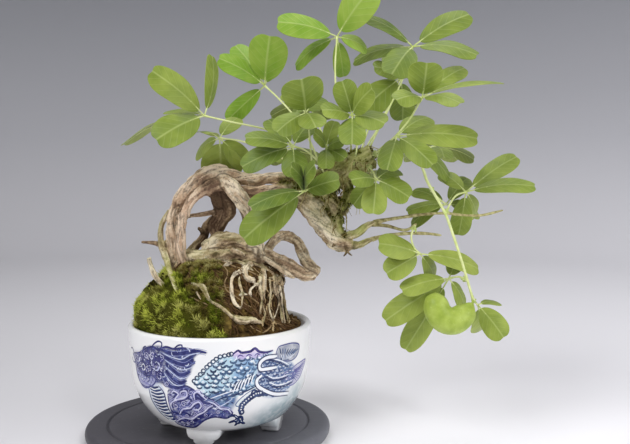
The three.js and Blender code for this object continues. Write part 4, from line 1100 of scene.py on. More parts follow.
def make_moss():
    draw = random.Random(11)
    build = Build()
    columns, rows = 90, 34
    top, bottom, marks = [], [], []
    for column in range(columns + 1):
        for row in range(rows + 1):
            across, share = column / columns, row / rows * MOSS_TOP
            point, normal = moss_place(across, share)
            edge = min(1, across * 14, (1 - across) * 14, (1 - row / rows) * 6, 0.35 + row / rows * 5)
            lump = 0.9 + 0.6 * noise.noise(point * 190) + 0.35 * noise.noise(point * 520)
            hump = 0.5 + 1.1 * noise.noise(point * 95)
            top.append(point + normal * (0.5 + (1.3 * lump + hump) * edge) * MM)
            bottom.append(point + normal * 0.1 * MM)
            # The bed is marked low, so it is painted in the shade of the tufts.
            marks.append((0.1 + 0.12 * lump * edge, 0.3 + 0.5 * noise.noise(point * 60), 0.2))
    across_count = rows + 1
    count = len(top)
    faces = []
    for column in range(columns):
        for row in range(rows):
            a = column * across_count + row
            b = a + across_count
            faces.append((a, b, b + 1, a + 1))
            faces.append((count + a, count + a + 1, count + b + 1, count + b))
    for column in range(columns):
        low = column * across_count
        high = low + rows
        faces.append((low + across_count, low, count + low, count + low + across_count))
        faces.append((high, high + across_count, count + high + across_count, count + high))
    for row in range(rows):
        last = columns * across_count + row
        faces.append((row, row + 1, count + row + 1, count + row))
        faces.append((last + 1, last, count + last, count + last + 1))
    build.add(top + bottom, faces, marks=marks + marks)
    for number in range(MOSS_TUFTS + MOSS_FRONDS):
        across, share = draw.random(), draw.random() * MOSS_TOP
        point, normal = moss_place(across, share)
        clump = noise.noise(point * MOSS_CLUMPS) + 0.5 * noise.noise(point * MOSS_CLUMPS / 2.2)
        gap = clump < -0.2
        if gap and draw.random() < 0.75:
            continue
        frond = number >= MOSS_TUFTS
        left = max(0, -(point.x - POT_X) / (50 * MM))
        height = share / MOSS_TOP
        tone = 0.3 + 0.5 * noise.noise(point * 70) + 0.25 * left - 0.25 * height + 1.3 * clump
        tone += draw.uniform(-0.16, 0.16) + (0.2 if frond else 0)
        dry = 0.15 + 1.1 * noise.noise(point * 110) - 0.3 * left + 0.2 * (1 - height)
        tall = 0.8 + 1.1 * max(0, clump)
        reach = (2.4 * tall, 4.4 * tall) if frond else (1.4 * tall, 3.2 * tall)
        widths = (0.34, 0.56) if frond else (0.22, 0.42)
        moss_tuft(build, point + normal * 0.6 * MM, normal, min(1, max(0, tone)), draw,
                  reach, 0.35, widths, min(0.5, max(0, dry)))
    for right, up, back, radius in DARK_CLUMPS:
        clod(build, seen(right, up, back), radius * MM, draw, (0.06, 0, 0.6))
    for _ in range(THIN_MOSS):
        angle = math.radians(draw.uniform(*THIN_MOSS_ANGLES))
        share = draw.uniform(*THIN_MOSS_SHARES)
        point = mound_at(angle, share)
        clump = noise.noise(point * MOSS_CLUMPS) + 0.6 * noise.noise(point * MOSS_CLUMPS / 3)
        if clump < (-0.32 if share < 0.5 else -0.12):
            continue
        upper = max(0, share - 0.66) * 3
        if draw.random() < upper * 0.8:
            continue
        normal = out_of_mound(point)
        tone = 0.36 + 0.9 * clump + 0.35 * upper + draw.uniform(-0.16, 0.16)
        dry = 0.5 + 1.2 * noise.noise(point * 150) + upper
        moss_tuft(build, point + normal * 0.2 * MM, normal, min(1, max(0, tone)), draw,
                  (1.2, 2.6), 0.1, (0.2, 0.4), min(0.8, max(0, dry)))
    build.piece("moss_cushion", [moss_material()], "moss", ["moss"])


def moss_tuft(build, root, normal, tone, draw, reach, rise, widths, dry=0.0):
    """Three pointed blades that lean apart."""
    turn = draw.random() * math.tau
    side = normal.orthogonal().normalized()
    across = normal.cross(side)
    for blade in range(3):
        angle = turn + blade * math.tau / 3 + draw.uniform(-0.4, 0.4)
        lean = side * math.cos(angle) + across * math.sin(angle)
        direction = (normal + lean * draw.uniform(0.3, 1.1) + Vector((0, 0, rise))).normalized()
        length = draw.uniform(*reach) * MM
        width = draw.uniform(*widths) * MM
        flat = direction.cross(lean).normalized() * width
        thick = direction.cross(flat).normalized() * width * 0.5
        vertices = [root + flat, root - flat, root + thick, root + direction * length]
        faces = [(0, 2, 3), (2, 1, 3), (1, 0, 3), (0, 1, 2)]
        # The feet are marked low and the tip high: painted shade at the feet.
        build.add(vertices, faces, marks=[(0.15, tone, dry)] * 3 + [(1, tone, dry)])


# Trunk: strands that twist, part and join, with the roots that creep down the mound.
# A strand has its tone, which is how light, how pink and how mossy its bark is, from 0 to 1, and its
# points, each (right, up, back, radius) as it is seen, in millimetres.

STRANDS = {
    "outer column and arch": ((0.78, 0.55, 0.0), [
        (-21, 84, 3, 4.8), (-26, 95, 3, 4.4), (-26, 107, 1, 4.1), (-26, 119, 0, 4), (-23, 127.5, -1, 4),
        (-17, 136.5, -3, 4.1), (-9, 143, -5, 4.3), (-1, 145, -5, 4.3), (5.5, 144, -3, 4),
        (11.5, 142.5, 0, 3.6), (20.5, 141, 3, 3.5), (29.5, 142.5, 4, 3.6), (40, 141, 2, 4),
        (48, 139, 0, 4.6)]),
    "inner strand": ((0.74, 0.75, 0.0), [
        (-19, 88, -3, 3), (-22, 100.5, -4, 2.7), (-21.5, 111, -5, 2.5), (-20, 121, -6, 2.5),
        (-15, 130, -8, 2.6), (-7.5, 135.5, -9, 3.2), (0, 138.5, -9, 3.6), (7, 137.5, -8, 3.4),
        (15, 134.6, -3, 3.2), (24, 134.8, -2, 3.3), (34, 136.4, -1, 3.4), (46, 136, -2, 4)]),
    "left surface root": ((0.62, 0.0, 0.35), [
        (-28, 124, 2, 1.2), (-32.5, 116, 3, 1.7), (-33, 106, 1, 1.9), (-30, 96, -5, 1.9),
        (-28, 89, -14, 1.8), (-26.2, 84, -22.5, 1.6), (-25, 80, -27, 1.4), (-23, 76, -29, 1)]),
    "free root at the left": ((0.85, 0.1, 0.1), [
        (-40, 97.5, -18, 1.3), (-39, 93, -18, 1.5), (-35, 85, -19, 1.5), (-28, 78, -16, 1.5),
        (-22, 75, -10, 1.4)]),
    "burl": ((0.1, 0.3, 0.05), [
        (-9, 143, -4, 4.2), (-4, 138.5, -3, 5.6), (-1, 132.5, -1, 4.4), (0, 128, 2, 3.6)]),
    "strong front strand": ((0.85, 0.3, 0.0), [
        (2, 141, -8, 3.6), (6, 138.5, -11, 4.6), (10.5, 133, -12, 4.5), (15, 126.5, -11, 4.1),
        (19.5, 117, -10, 3.8), (21.5, 107.5, -8, 3.6), (21, 95, -6, 3.8)]),
    "dark strand": ((0.2, 0.2, 0.0), [
        (-2, 135, -1, 3.6), (0.5, 126.5, 4, 3.8), (0, 120.5, 7, 3.7), (-3, 116, 9, 3.1),
        (-2, 109.5, 8, 2.8), (2, 104, 5, 2.8), (7, 95, 2, 3.4)]),
    "dark fold": ((0.12, 0.1, 0.0), [
        (2, 136, -3, 3.4), (5.5, 130, -1, 3.6), (6, 123, 2, 3.1), (2.5, 117.5, 5, 2.4), (-0.5, 112, 8, 2.2)]),
    "thin cross strand": ((0.55, 0.3, 0.0), [
        (-24, 120, -2, 1.2), (-10, 122, 0, 1.4), (0, 123.5, 5, 1.6)]),
    "lower left strand": ((0.35, 0.2, 0.05), [
        (-2, 121, 8, 2.2), (-7.5, 114.5, 12, 2.4), (-9, 109, 12, 2.5), (-14, 103.5, 8, 2.7),
        (-20, 96, 3, 3)]),
    "knot": ((0.1, 0.1, 0.0), [
        (-8, 110, 12, 1.6), (-12, 114.5, 10, 1)]),
    "back strand": ((0.35, 0.2, 0.0), [
        (2, 138, 0, 3.2), (12, 129, 10, 3.4), (17, 118, 16, 3.2), (19, 106, 18, 3.2),
        (17, 90, 17, 3.4)]),
    "loop, upper half": ((0.6, 0.1, 0.0), [
        (22, 96, 0, 2.8), (28, 104, 1, 2.6), (33, 109.5, 3, 2.9), (39, 109.5, 5, 3.1), (44, 106, 4, 3.1),
        (46, 101.5, 2, 3.1), (48.5, 95.5, -2, 3.2), (52.5, 91, -5, 3.4), (56, 89, -6.5, 2.8)]),
    "loop, lower half": ((0.55, 0.25, 0.0), [
        (18, 103, -3, 3), (26, 100.5, -6, 2.9), (31, 97.5, -8, 3.1), (37, 94, -9, 3.4),
        (43, 90, -9, 3.5), (48.5, 87, -8, 3.4), (54, 87, -6.5, 3)]),
    "mossy limb": ((0.62, 0.0, 1.0), [
        (38, 138, 1, 4.4), (47, 136.5, -2, 6.2), (56.5, 140, -4, 7.2), (66, 144.5, -7, 7.4),
        (74, 148.5, -9, 7.4), (80, 151.5, -11, 7.2), (86.5, 154, -12, 6.6)]),
    "broken limb": ((0.92, 0.12, 0.12), [
        (43, 136, -1, 5.2), (48.5, 128.5, -3, 5.8), (55, 120, -6, 6), (61.5, 112, -9, 5.6),
        (67, 106, -11, 5), (74, 104.5, -12, 3)]),
    "moss that hangs from the limb": ((0.3, 0.0, 1.0), [
        (70, 143, -8, 4.5), (72.5, 134, -8, 3.4), (70, 127, -8, 2.6), (66, 120, -9, 2.4),
        (63, 113, -9, 2.4)]),
    "moss in the fork": ((0.4, 0.0, 0.8), [
        (58, 136, -5, 4.5), (63, 130, -7, 4.4), (65.5, 123, -8, 3.8), (66.5, 116, -10, 3),
        (68, 110, -11, 2.4)]),
    "gnarled heart": ((0.6, 0.15, 0.1), [
        (-9, 102, 5, 4), (-1, 106, 3, 4.8), (7, 106.5, -2, 5), (14, 105, -5, 4.8), (19, 102, -6, 4)]),
    "bright stub": ((1.0, 0.1, 0.0), [
        (7, 102.4, -8, 1), (8.8, 101.4, -10.5, 1.3), (11.5, 100, -12, 1.5), (13.8, 98.4, -12.5, 1.3)]),
    "thin root over the base": ((0.85, 0.1, 0.0), [
        (16, 104, -9, 0.9), (19, 105, -11, 1), (22, 104.4, -11.5, 1), (23.6, 101.5, -12, 1),
        (25, 97.9, -12.5, 1),
        (26.8, 95.6, -13.5, 0.9)]),
    "root under the loop": ((0.88, 0.15, 0.0), [
        (23.5, 98.4, -12, 1.1), (27, 95.8, -14.5, 1.3), (31.5, 92.8, -14.5, 1.4), (35.5, 89.8, -13.5, 1.4),
        (39.5, 87, -12, 1.2), (42.5, 85.9, -10.5, 0.8)]),
    "root base, front": ((0.55, 0.1, 0.12), [
        (-24, 97, 4, 3.6), (-14, 97, 1, 4.8), (-3, 96, -3, 6), (8, 96, -5, 6.4), (18, 97, -5, 6.2),
        (27, 98, -4, 4.2)]),
    "root base, back": ((0.5, 0.1, 0.1), [
        (-18, 95, 8, 4), (-6, 95, 12, 5.4), (8, 95, 14, 6), (20, 94, 13, 5), (26, 92, 8, 3.6)]),
}

# Twigs, thick end first: the thick ends melt into the trunk's skin, and the rest is drawn as fine bars.
TWIGS = {
    "short dead twig": ((0.15, 0.1, 0.0), [
        (-30, 104, 1, 1.5), (-34, 105, 3, 1.3), (-38, 105.8, 4, 1.1), (-44, 106.2, 6, 0.8)]),
    "upper twig": ((0.62, 0.0, 0.6), [
        (66, 108, -10, 2.4), (77, 111, -12, 2.4), (84, 116, -12, 1.7), (92.5, 118.5, -12, 1.1),
        (104.5, 120.5, -12, 0.9), (116, 122, -11, 0.8), (127.5, 122.5, -9, 0.8), (136, 121.5, -7, 0.7),
        (147, 121.3, -6, 0.7), (159.5, 124.2, -6, 0.6)]),
    "middle twig": ((0.55, 0.0, 0.6), [
        (84, 116, -12, 1), (94, 115.5, -12.5, 0.9), (104.5, 113, -14, 0.8), (111, 116.5, -15, 0.7)]),
    "lower twig": ((0.64, 0.0, 0.6), [
        (68, 105, -11, 2.6), (77, 104.5, -12.5, 2.2), (85, 107.5, -13, 1.5), (92.5, 109.5, -14, 1.1),
        (104.5, 111, -14, 1), (116.5, 111, -12, 0.8), (125, 110, -9, 0.7)]),
    "claw at the break": ((0.05, 0.0, 0.1), [
        (70.6, 106, -13, 1.3), (71.4, 103, -14.5, 1.1), (71.9, 100.8, -15, 0.8), (71, 99.4, -15, 0.6),
        (70, 98.2, -14.5, 0.35)]),
    "claw's fork": ((0.05, 0.0, 0.1), [
        (71.8, 101.4, -15, 0.8), (73, 99.8, -15, 0.6), (74.6, 98.6, -14.5, 0.3)]),
    "splinter at the break": ((0.1, 0.0, 0.1), [
        (66, 106.5, -14, 1.2), (64.4, 104.4, -15, 0.8), (63.4, 103.4, -15, 0.35)]),
}

# Roots on the mound: each point is (right, up, radius). The first ones are pale.
SURFACE_ROOTS = [
    [(13, 93, 1.1), (11.6, 89.6, 1.15), (8.6, 88.4, 1.15), (6.6, 85, 1.1), (6.4, 79, 1.1), (7, 74.5, 1.05),
        (8.4, 71, 1), (10.4, 69, 0.8)],
    [(22.5, 97.5, 2.1), (20, 95, 2.2), (16, 92.8, 2.1), (13.9, 89.8, 1.9), (14.4, 86.6, 1.7),
     (16.6, 84.8, 1.8),
        (17.8, 84.6, 1.6)],
    [(19.6, 98, 1.7), (22, 94.4, 1.4), (23.9, 90.2, 1.3), (24.4, 85, 1.2), (24.1, 79.3, 1.1),
     (23.8, 75, 0.9)],
    [(26, 96, 1.1), (29.1, 88, 0.85), (29.6, 82.9, 0.8), (29.8, 78.2, 0.8), (31.6, 75.2, 0.75),
     (32.2, 71.4, 0.7),
        (30.6, 65, 0.7), (29, 62.4, 0.6)],
    [(31.4, 86, 0.9), (32.6, 80.5, 0.9), (33.5, 75.7, 0.9), (34.2, 68.6, 0.85), (35.2, 61.6, 0.7)],
    [(25, 98, 1.4), (27.4, 95.2, 1.2), (31, 92.6, 1), (34.2, 89.6, 0.8)],
    [(28, 87, 0.7), (29.6, 87.3, 0.75), (32.8, 87.6, 0.7), (35.4, 86.8, 0.6)],
    [(36, 85, 0.6), (35, 82.8, 0.7), (33.6, 79.6, 0.65), (31.7, 76.8, 0.6)],
    [(23.6, 83, 0.7), (21.6, 82.6, 0.85), (18.6, 81, 0.85), (16.4, 78.8, 0.8), (17, 76.2, 0.7)],
    [(9.4, 75.6, 0.7), (10.9, 76, 0.75), (12.5, 76.7, 0.75), (14.4, 76.4, 0.6)],
    [(2, 91.5, 1.2), (4, 93, 1.5), (6.3, 94.6, 1.4)],
    [(-16, 82, 0.6), (-14.2, 81.8, 0.75), (-9.1, 81.6, 0.75), (-6.6, 76.6, 0.7), (-5, 72, 0.6)],
    [(-13.6, 79.6, 0.6), (-12.6, 77.2, 0.7), (-9.9, 72.9, 0.6)],
]
DULL_ROOTS = [
    [(-16, 86, 0.9), (-14.5, 82.5, 0.9), (-10.5, 80.5, 0.9), (-6.5, 73.4, 0.9), (0, 69.5, 1), (5, 65, 1.1),
        (9, 61, 1)],
    [(5, 64.5, 1.3), (9, 62.3, 2.2), (13, 61.4, 2.5), (17, 61.8, 2.2), (20.5, 60.8, 1.2)],
    [(21, 92, 1.1), (21.8, 86, 1), (21.6, 80, 0.9), (23, 74, 0.8), (22, 67, 0.7)],
    [(27, 94, 0.9), (30.2, 86.5, 0.9), (31, 80, 0.8), (32.2, 74, 0.8), (33, 68, 0.8), (34.2, 61, 0.7)],
    [(29.5, 92, 1), (33.6, 85, 0.9), (34.6, 78, 0.9), (35.6, 70, 0.9), (36.8, 62.5, 0.8)],
    [(25.5, 93, 0.9), (27.4, 84, 0.8), (28, 76, 0.7), (27, 69, 0.7), (28.6, 62.5, 0.6)],
    [(24, 78, 0.6), (23, 72, 0.7), (24.6, 66, 0.7), (24, 61, 0.6)],
    [(12, 90, 1), (10.6, 84, 0.9), (12.4, 77, 0.8), (12, 71, 0.7)],
]
ROOT_LIFT = 1.2
MOUND_HALF = 38
ROOT_JOIN = 7
ROOT_SINK = 2.5
BUTTRESSES = 26
BUTTRESS_TOP = 0.97
MOSSY_SLOPE = (195, 291)

ROOT_TONE = (0.86, 0.12, 0.0)
DULL_ROOT_TONE = (0.58, 0.08, 0.16)

# Places where the bark is painted lighter or darker: (right, up, back), how wide in millimetres, how much.
# Most are painted highlights and painted shade on and between the strands; some are the bark's own pale and
# dark patches.
BARK_LIGHT_SHADE_AND_TONE_SPOTS = [
    ((-4, 138, -11), 7, -0.75), ((-0.5, 129, -3), 8, -0.35), ((9, 138, -16), 5, 0.35),
    ((18, 134.5, -6), 6.5, -0.6),
    ((-23.5, 119, -6), 9, 0.22), ((-20, 136, -6), 7, 0.2), ((-25, 127, -5), 2.6, -0.5),
    ((20, 145, -1), 8, 0.3), ((-9, 106, 0), 4.5, 0.3), ((-3, 149, -5), 7, 0.6),
    ((55, 118, -11), 7, 0.45), ((64, 109, -14), 5, 0.5), ((45, 134, -5), 6, -0.3), ((-17, 97, -6), 6, 0.2),
    ((24, 106, -11), 5, 0.55), ((2, 99, -10), 6, -0.25), ((60, 138, -8), 8, 0.2),
    ((-2.6, 99.3, -8), 2.6, -0.7),
    ((-0.8, 94.8, -10), 2.8, 0.6), ((-3.4, 105.6, -1), 3.4, 0.55), ((-11, 102.6, 0), 2.4, 0.5),
    ((24, 141.3, -1), 2.6, -0.7), ((29, 141, -1), 2.6, -0.8), ((34, 141, -1), 2.6, -0.7),
    ((38.5, 140.4, -2), 2.8, -0.6),
    ((27, 146, 0), 3, 0.45), ((33, 146.5, 0), 3, 0.45), ((29.5, 136.8, -4), 2.2, 0.5),
    ((43.7, 125.4, -4), 5, -0.8), ((47.5, 120.5, -5), 4.2, -0.6), ((51.5, 116, -5), 4, -0.7),
    ((56, 111.5, -8), 3.6, -0.6),
    ((60, 107.5, -9), 3.6, -0.7), ((69, 105.4, -14), 3.4, -0.45), ((74, 105, -14), 3, -0.3),
    ((53.5, 126.5, -12), 3, -0.35), ((57.5, 122.5, -13), 2.4, 0.3), ((63.5, 114.5, -14), 2.2, 0.35),
    ((4, 95, -11), 2, 0.5), ((7, 106, -8), 3, -0.4), ((13, 101, -12), 3, -0.4), ((9, 95.4, -11), 3.4, -0.5),
]

LIMB_STEP = 1.1 * MM
LIMB_SIDES = 24
FLUTE_TWIST = 0.11
SKIN_VOXEL = 0.63 * MM
CRACK_SIZE = 1.9 * MM
CRACK_STRETCH = 6
MOSSY_TINT = 0.45
LIMB_STARTS = 30
LIMB_UP = 138
TWIGS_START = 73
TWIGS_UNDER = 125
LIMB_TUFTS = 6900
MOSS_THREADS = 140
TWIG_JOIN = 1.15 * MM
TWIG_OVERLAP = 5


def bark_material():
    paint = Paint("akebia_bark", roughness=0.85, specular=0.25)
    light, pink, moss = paint.marks()
    crack_and_seam_shade, grain, _ = paint.marks("depths")
    fine = paint.noise(700, 6)
    broad = paint.noise(90, 4)
    shade = paint.math("ADD", light, paint.grey(broad, 0.3, 0.7, -0.2, 0.2))
    shade = paint.math("ADD", shade, paint.grey(fine, 0.3, 0.7, -0.18, 0.18))
    shade = paint.math("ADD", shade, paint.grey(grain, -0.8, 0.8, -0.32, 0.3))
    wood = paint.ramp(shade, (0.0, (86, 68, 48)), (0.35, (150, 128, 98)),
                      (0.65, (202, 182, 148)), (1.0, (242, 230, 200)))
    rosy = paint.mix(paint.math("MULTIPLY", pink, 0.55), wood, linear(220, 172, 150))
    specks = paint.grey(paint.noise(430, 5), 0.56, 0.68, 0, 0.6)
    mottled = paint.mix(paint.math("MULTIPLY", specks, paint.grey(pink, 0, 0.6, 1, 0.5)), rosy,
                        linear(84, 68, 48))
    # Painted shade: dark brown in the cracks and where strands meet.
    shaded_in_cracks_and_seams = paint.mix(paint.grey(crack_and_seam_shade, 0.15, 1, 0, 0.88), mottled, linear(52, 37, 26))
    green = paint.ramp(shade, (0.2, (106, 110, 48)), (0.5, (156, 160, 84)), (0.85, (188, 188, 118)))
    mossy = paint.math("MULTIPLY", moss, paint.grey(broad, 0.25, 0.55, 0.6, 1))
    paint.colour(paint.mix(mossy, shaded_in_cracks_and_seams, green))
    paint.bump(fine, 0.0005, 0.6)
    return paint.material


def limb_rows(points):
    """Rows of x, y, z and radius along a limb, in metres."""
    places = [(*seen(right, up, back), radius * MM) for right, up, back, radius in points]
    return smooth_path(places, LIMB_STEP)


def surface_root(points):
    """A root's points laid on the mound and lifted out of it a little, with both ends sunk."""
    laid = []
    for right, up, radius in points:
        lean = max(-1, min(1, right / MOUND_HALF))
        back = on_mound(right, up) - ROOT_LIFT * math.sqrt(1 - lean * lean)
        laid.append([right + ROOT_LIFT * lean, up, back, radius])
    before, last = laid[-2:]
    end = [last[0] + (last[0] - before[0]) * 0.5, last[1] + (last[1] - before[1]) * 0.5,
           last[2] + ROOT_SINK, last[3]]
    laid[0][2] += ROOT_JOIN
    return [*laid, end]


def buttress(angle, draw):
    """A root that leaves the foot of the trunk and dives into the mound."""
    points = []
    share = BUTTRESS_TOP
    end = draw.uniform(0.25, 0.75)
    thick = draw.uniform(1.2, 2.5)
    drift = draw.uniform(-0.03, 0.05)
    while share > end:
        fall = (BUTTRESS_TOP - share) / (BUTTRESS_TOP - end)
        place = mound_at(angle, share)
        outward = out_of_mound(place)
        sunk = 0.7 - 0.8 * fall * fall
        points.append((*(place + outward * sunk * MM), thick * (1 - 0.68 * fall) * MM))
        drift += draw.uniform(-0.03, 0.03)
        angle += drift
        share -= 0.05
    return smooth_path(points, LIMB_STEP)


def add_limb(build, rows, phase, sides=LIMB_SIDES, flute=0.12):
    def wavy(index, turn):
        angle = turn / sides * math.tau
        twist = index * FLUTE_TWIST + phase
        slow = math.sin(3 * angle + twist)
        quick = math.sin(5 * angle - 1.4 * twist)
        swell = math.sin(index * 0.31 + phase * 2)
        return 1 + flute * slow + 0.6 * flute * quick + 0.5 * flute * swell
    centres = [Vector(row[:3]) for row in rows]
    radii = [max(row[3], 0.3 * MM) for row in rows]
    tube(build, centres, radii, sides, wobble=wavy)


def melted(build, voxel, smoothing):
    """The overlapping solids of a build joined under one even skin, as a new mesh."""
    mesh = bpy.data.meshes.new("melting")
    mesh.from_pydata(build.vertices, [], build.faces)
    carrier = bpy.data.objects.new("melting", mesh)
    bpy.context.collection.objects.link(carrier)
    remesh = carrier.modifiers.new("skin", "REMESH")
    remesh.mode = "VOXEL"
    remesh.voxel_size = voxel
    smooth = carrier.modifiers.new("smooth", "SMOOTH")
    smooth.factor = 0.5
    smooth.iterations = smoothing
    graph = bpy.context.evaluated_depsgraph_get()
    skin = bpy.data.meshes.new_from_object(carrier.evaluated_get(graph))
    bpy.data.objects.remove(carrier)
    bpy.data.meshes.remove(mesh)
    return skin


def mesh_arrays(mesh):
    places = np.empty(len(mesh.vertices) * 3)
    mesh.vertices.foreach_get("co", places)
    normals = np.empty(len(mesh.vertices) * 3)
    mesh.vertices.foreach_get("normal", normals)
    return places.reshape(-1, 3), normals.reshape(-1, 3)


def nearest_limbs(places, limbs):
    """The nearest row of each place, and its distance to the skin of every limb."""
    rows = np.vstack([np.array(limb) for limb in limbs])
    starts = np.cumsum([0] + [len(limb) for limb in limbs[:-1]])
    nearest = np.empty(len(places), dtype=int)
    to_limbs = np.empty((len(places), len(limbs)))
    chunk = 4000
    for start in range(0, len(places), chunk):
        some = places[start:start + chunk]
        square = (some ** 2).sum(1)[:, None] + (rows[:, :3] ** 2).sum(1) - 2 * some @ rows[:, :3].T
        distance = np.sqrt(np.maximum(square, 0)) - rows[:, 3]
        nearest[start:start + chunk] = distance.argmin(1)
        to_limbs[start:start + chunk] = np.minimum.reduceat(distance, starts, axis=1)
    return nearest, to_limbs


def limb_frames(limbs):
    """For every row of every limb: its two side directions, its way along and its limb."""
    table = []
    for number, limb in enumerate(limbs):
        centres = [Vector(row[:3]) for row in limb]
        way = 0
        for index, (_, side, across) in enumerate(frames_along(centres)):
            if index:
                way += (centres[index] - centres[index - 1]).length
            table.append((centres[index], side, across, way, number))
    return table


def carve_bark(mesh, limbs, tones):
    """Presses long cracks into the skin and marks its tint, its moss and its painted light: shade in the
    cracks and where strands meet, highlights on upward faces, and listed spots of light, shade or own tone.
    """
    places, normals = mesh_arrays(mesh)
    nearest, to_limbs = nearest_limbs(places, limbs)
    closest = np.sort(to_limbs, axis=1)
    apart = (closest[:, 1] - closest[:, 0]) / MM
    share = np.exp(-(to_limbs - closest[:, :1]) / (1.0 * MM))
    tint = share @ np.array(tones) / share.sum(1)[:, None]
    table = limb_frames(limbs)
    depths = np.zeros((len(places), 3))
    for index, place in enumerate(places):
        centre, side, across, way, number = table[nearest[index]]
        offset = Vector(place) - centre
        angle = math.atan2(offset.dot(across), offset.dot(side)) + way / MM * 0.05
        reach = offset.length / CRACK_SIZE
        spot = Vector((math.cos(angle) * reach, math.sin(angle) * reach,
                       way / CRACK_SIZE / CRACK_STRETCH + number * 7.3))
        ridge = noise.noise(spot)
        small = noise.noise(spot * 2.3)
        crack = max(0, 1 - abs(ridge) * 4.5) + max(0, 1 - abs(small) * 6) * 0.5
        knobs = noise.noise(Vector(place) / (4 * MM))
        depths[index] = (crack, ridge + small * 0.6, knobs)
    fade = np.clip(apart / 1.4, 0, 1)
    size = np.clip(np.array([math.dist(place, table[near][0]) for place, near in zip(places, nearest)])
                   / (4 * MM), 0.25, 1.1)
    press = (depths[:, 1] * 0.4 - depths[:, 0] * 0.55 + depths[:, 2] * 0.75) * fade * size
    mesh.vertices.foreach_set("co", (places + normals * press[:, None] * MM).ravel())
    # Painted shade where two strands meet, added to the painted shade in the cracks.
    strand_meeting_shade = np.clip(1 - apart / 0.9, 0, 1)
    crack_and_seam_shade = np.clip(depths[:, 0] * fade * 0.72 + strand_meeting_shade, 0, 1)
    top = np.clip(normals[:, 2], 0, 1)
    # Painted highlight: faces turned upwards are lighter.
    tint[:, 0] += 0.14 * top
    for spot, size_here, amount in BARK_LIGHT_SHADE_AND_TONE_SPOTS:
        gap = np.linalg.norm(places - np.array(seen(*spot)), axis=1) / (size_here * MM)
        tint[:, 0] += amount * np.exp(-gap ** 2)
        tint[:, 1] *= 1 + min(0, amount) * np.exp(-gap ** 2)
    patches = np.array([noise.noise(Vector(place) / (7 * MM)) for place in places])
    tint[:, 2] = np.clip(tint[:, 2] * (0.95 + patches) + (top * 0.35 - 0.08) * (tint[:, 2] > 0.05), 0, 1)
    keep_marks(mesh, tint)
    keep_marks(mesh, np.column_stack([crack_and_seam_shade, depths[:, 1], depths[:, 2]]), "depths")
    return places, normals, tint


def make_trunk():
    limbs = [limb_rows(points) for _, points in STRANDS.values()]
    tones = [tone for tone, _ in STRANDS.values()]
    for tone, points in TWIGS.values():
        thick = [row for row in limb_rows(points) if row[3] > TWIG_JOIN]
        if thick:
            limbs.append(thick)
            tones.append(tone)
    for roots, tone in ((SURFACE_ROOTS, ROOT_TONE), (DULL_ROOTS, DULL_ROOT_TONE)):
        for points in roots:
            limbs.append(limb_rows(surface_root(points)))
            tones.append(tone)
    draw = random.Random(47)
    for number in range(BUTTRESSES):
        angle = number * 360 / BUTTRESSES + draw.uniform(-9, 9)
        root = buttress(math.radians(angle), draw)
        light = draw.uniform(0.35, 0.75)
        if not MOSSY_SLOPE[0] < angle < MOSSY_SLOPE[1]:
            limbs.append(root)
            tones.append((light, 0.1, 0.12))
    build = Build()
    for number, rows in enumerate(limbs):
        add_limb(build, rows, number * 1.7)
    skin = melted(build, SKIN_VOXEL, 2)
    places, normals, tint = carve_bark(skin, limbs, tones)
    skin.name = "trunk_bark"
    skin.materials.clear()
    skin.materials.append(bark_material())
    shown("trunk_bark", skin, ["trunk"])
    make_twigs(skin.materials[0])
    make_limb_moss(places, normals, tint)


def make_twigs(material):
    """The thin bare twigs, which are too fine for the trunk's skin."""
    build = Build()
    tints, cracks = [], []
    for number, (tone, points) in enumerate(TWIGS.values()):
        before = len(build.vertices)
        rows = limb_rows(points)
        joined = sum(1 for row in rows if row[3] > TWIG_JOIN)
        rows = rows[max(0, joined - TWIG_OVERLAP):]
        for index, row in enumerate(rows):
            row[3] *= 1 + 0.14 * math.sin(index * 0.55) * math.sin(index * 0.21 + number)
        rows[-1][3] *= 0.5
        add_limb(build, rows, number, sides=12, flute=0.04)
        count = len(build.vertices) - before
        tints.extend([tone] * count)
        # A faint, wavering amount of painted crack shade along the twig, and its grain.
        cracks.extend([(0.1 + 0.08 * math.sin(spot * 1.7), 0.4 * math.sin(spot * 0.37),
                        0) for spot in range(count)])
    build.marks = tints
    piece = build.piece("bare_twigs", [material], "bark")
    keep_marks(piece.data, cracks, "depths")


def make_limb_moss(places, normals, tint):
    """Short moss on the limb, with dry threads that hang from it and from its broken arm."""
    draw = random.Random(23)
    on_limb = (tint[:, 2] > MOSSY_TINT) & (places[:, 0] > POT_X + LIMB_STARTS * MM)
    on_twig = (places[:, 0] > POT_X + TWIGS_START * MM) & (places[:, 2] < STAND_TOP + TWIGS_UNDER * MM)
    mossy = np.nonzero(on_limb & ~on_twig)[0]
    build = Build()
    for _ in range(LIMB_TUFTS):
        index = mossy[draw.randrange(len(mossy))]
        root = Vector(places[index])
        clump = noise.noise(root * 420)
        hollow = noise.noise(root * 120)
        if clump < -0.05 or hollow > 0.12:
            continue
        hanging = root.z < STAND_TOP + LIMB_UP * MM
        if not hanging and normals[index][2] < 0.35 and draw.random() < 0.75:
            continue
        tone = 0.34 - 0.7 * hollow + 0.8 * clump + draw.uniform(-0.2, 0.2)
        dry = 0.35 + 1.5 * noise.noise(root * 170)
        moss_tuft(build, root, Vector(normals[index]), min(1, max(0, tone)), draw, (0.8, 2.6),
                  -0.7 if hanging else 0.25, (0.14, 0.3), min(1, max(0, dry)))
    for _ in range(MOSS_THREADS):
        index = mossy[draw.randrange(len(mossy))]
        moss_thread(build, Vector(places[index]), Vector(normals[index]), draw)
    build.piece("limb_moss", [moss_material()], "moss")


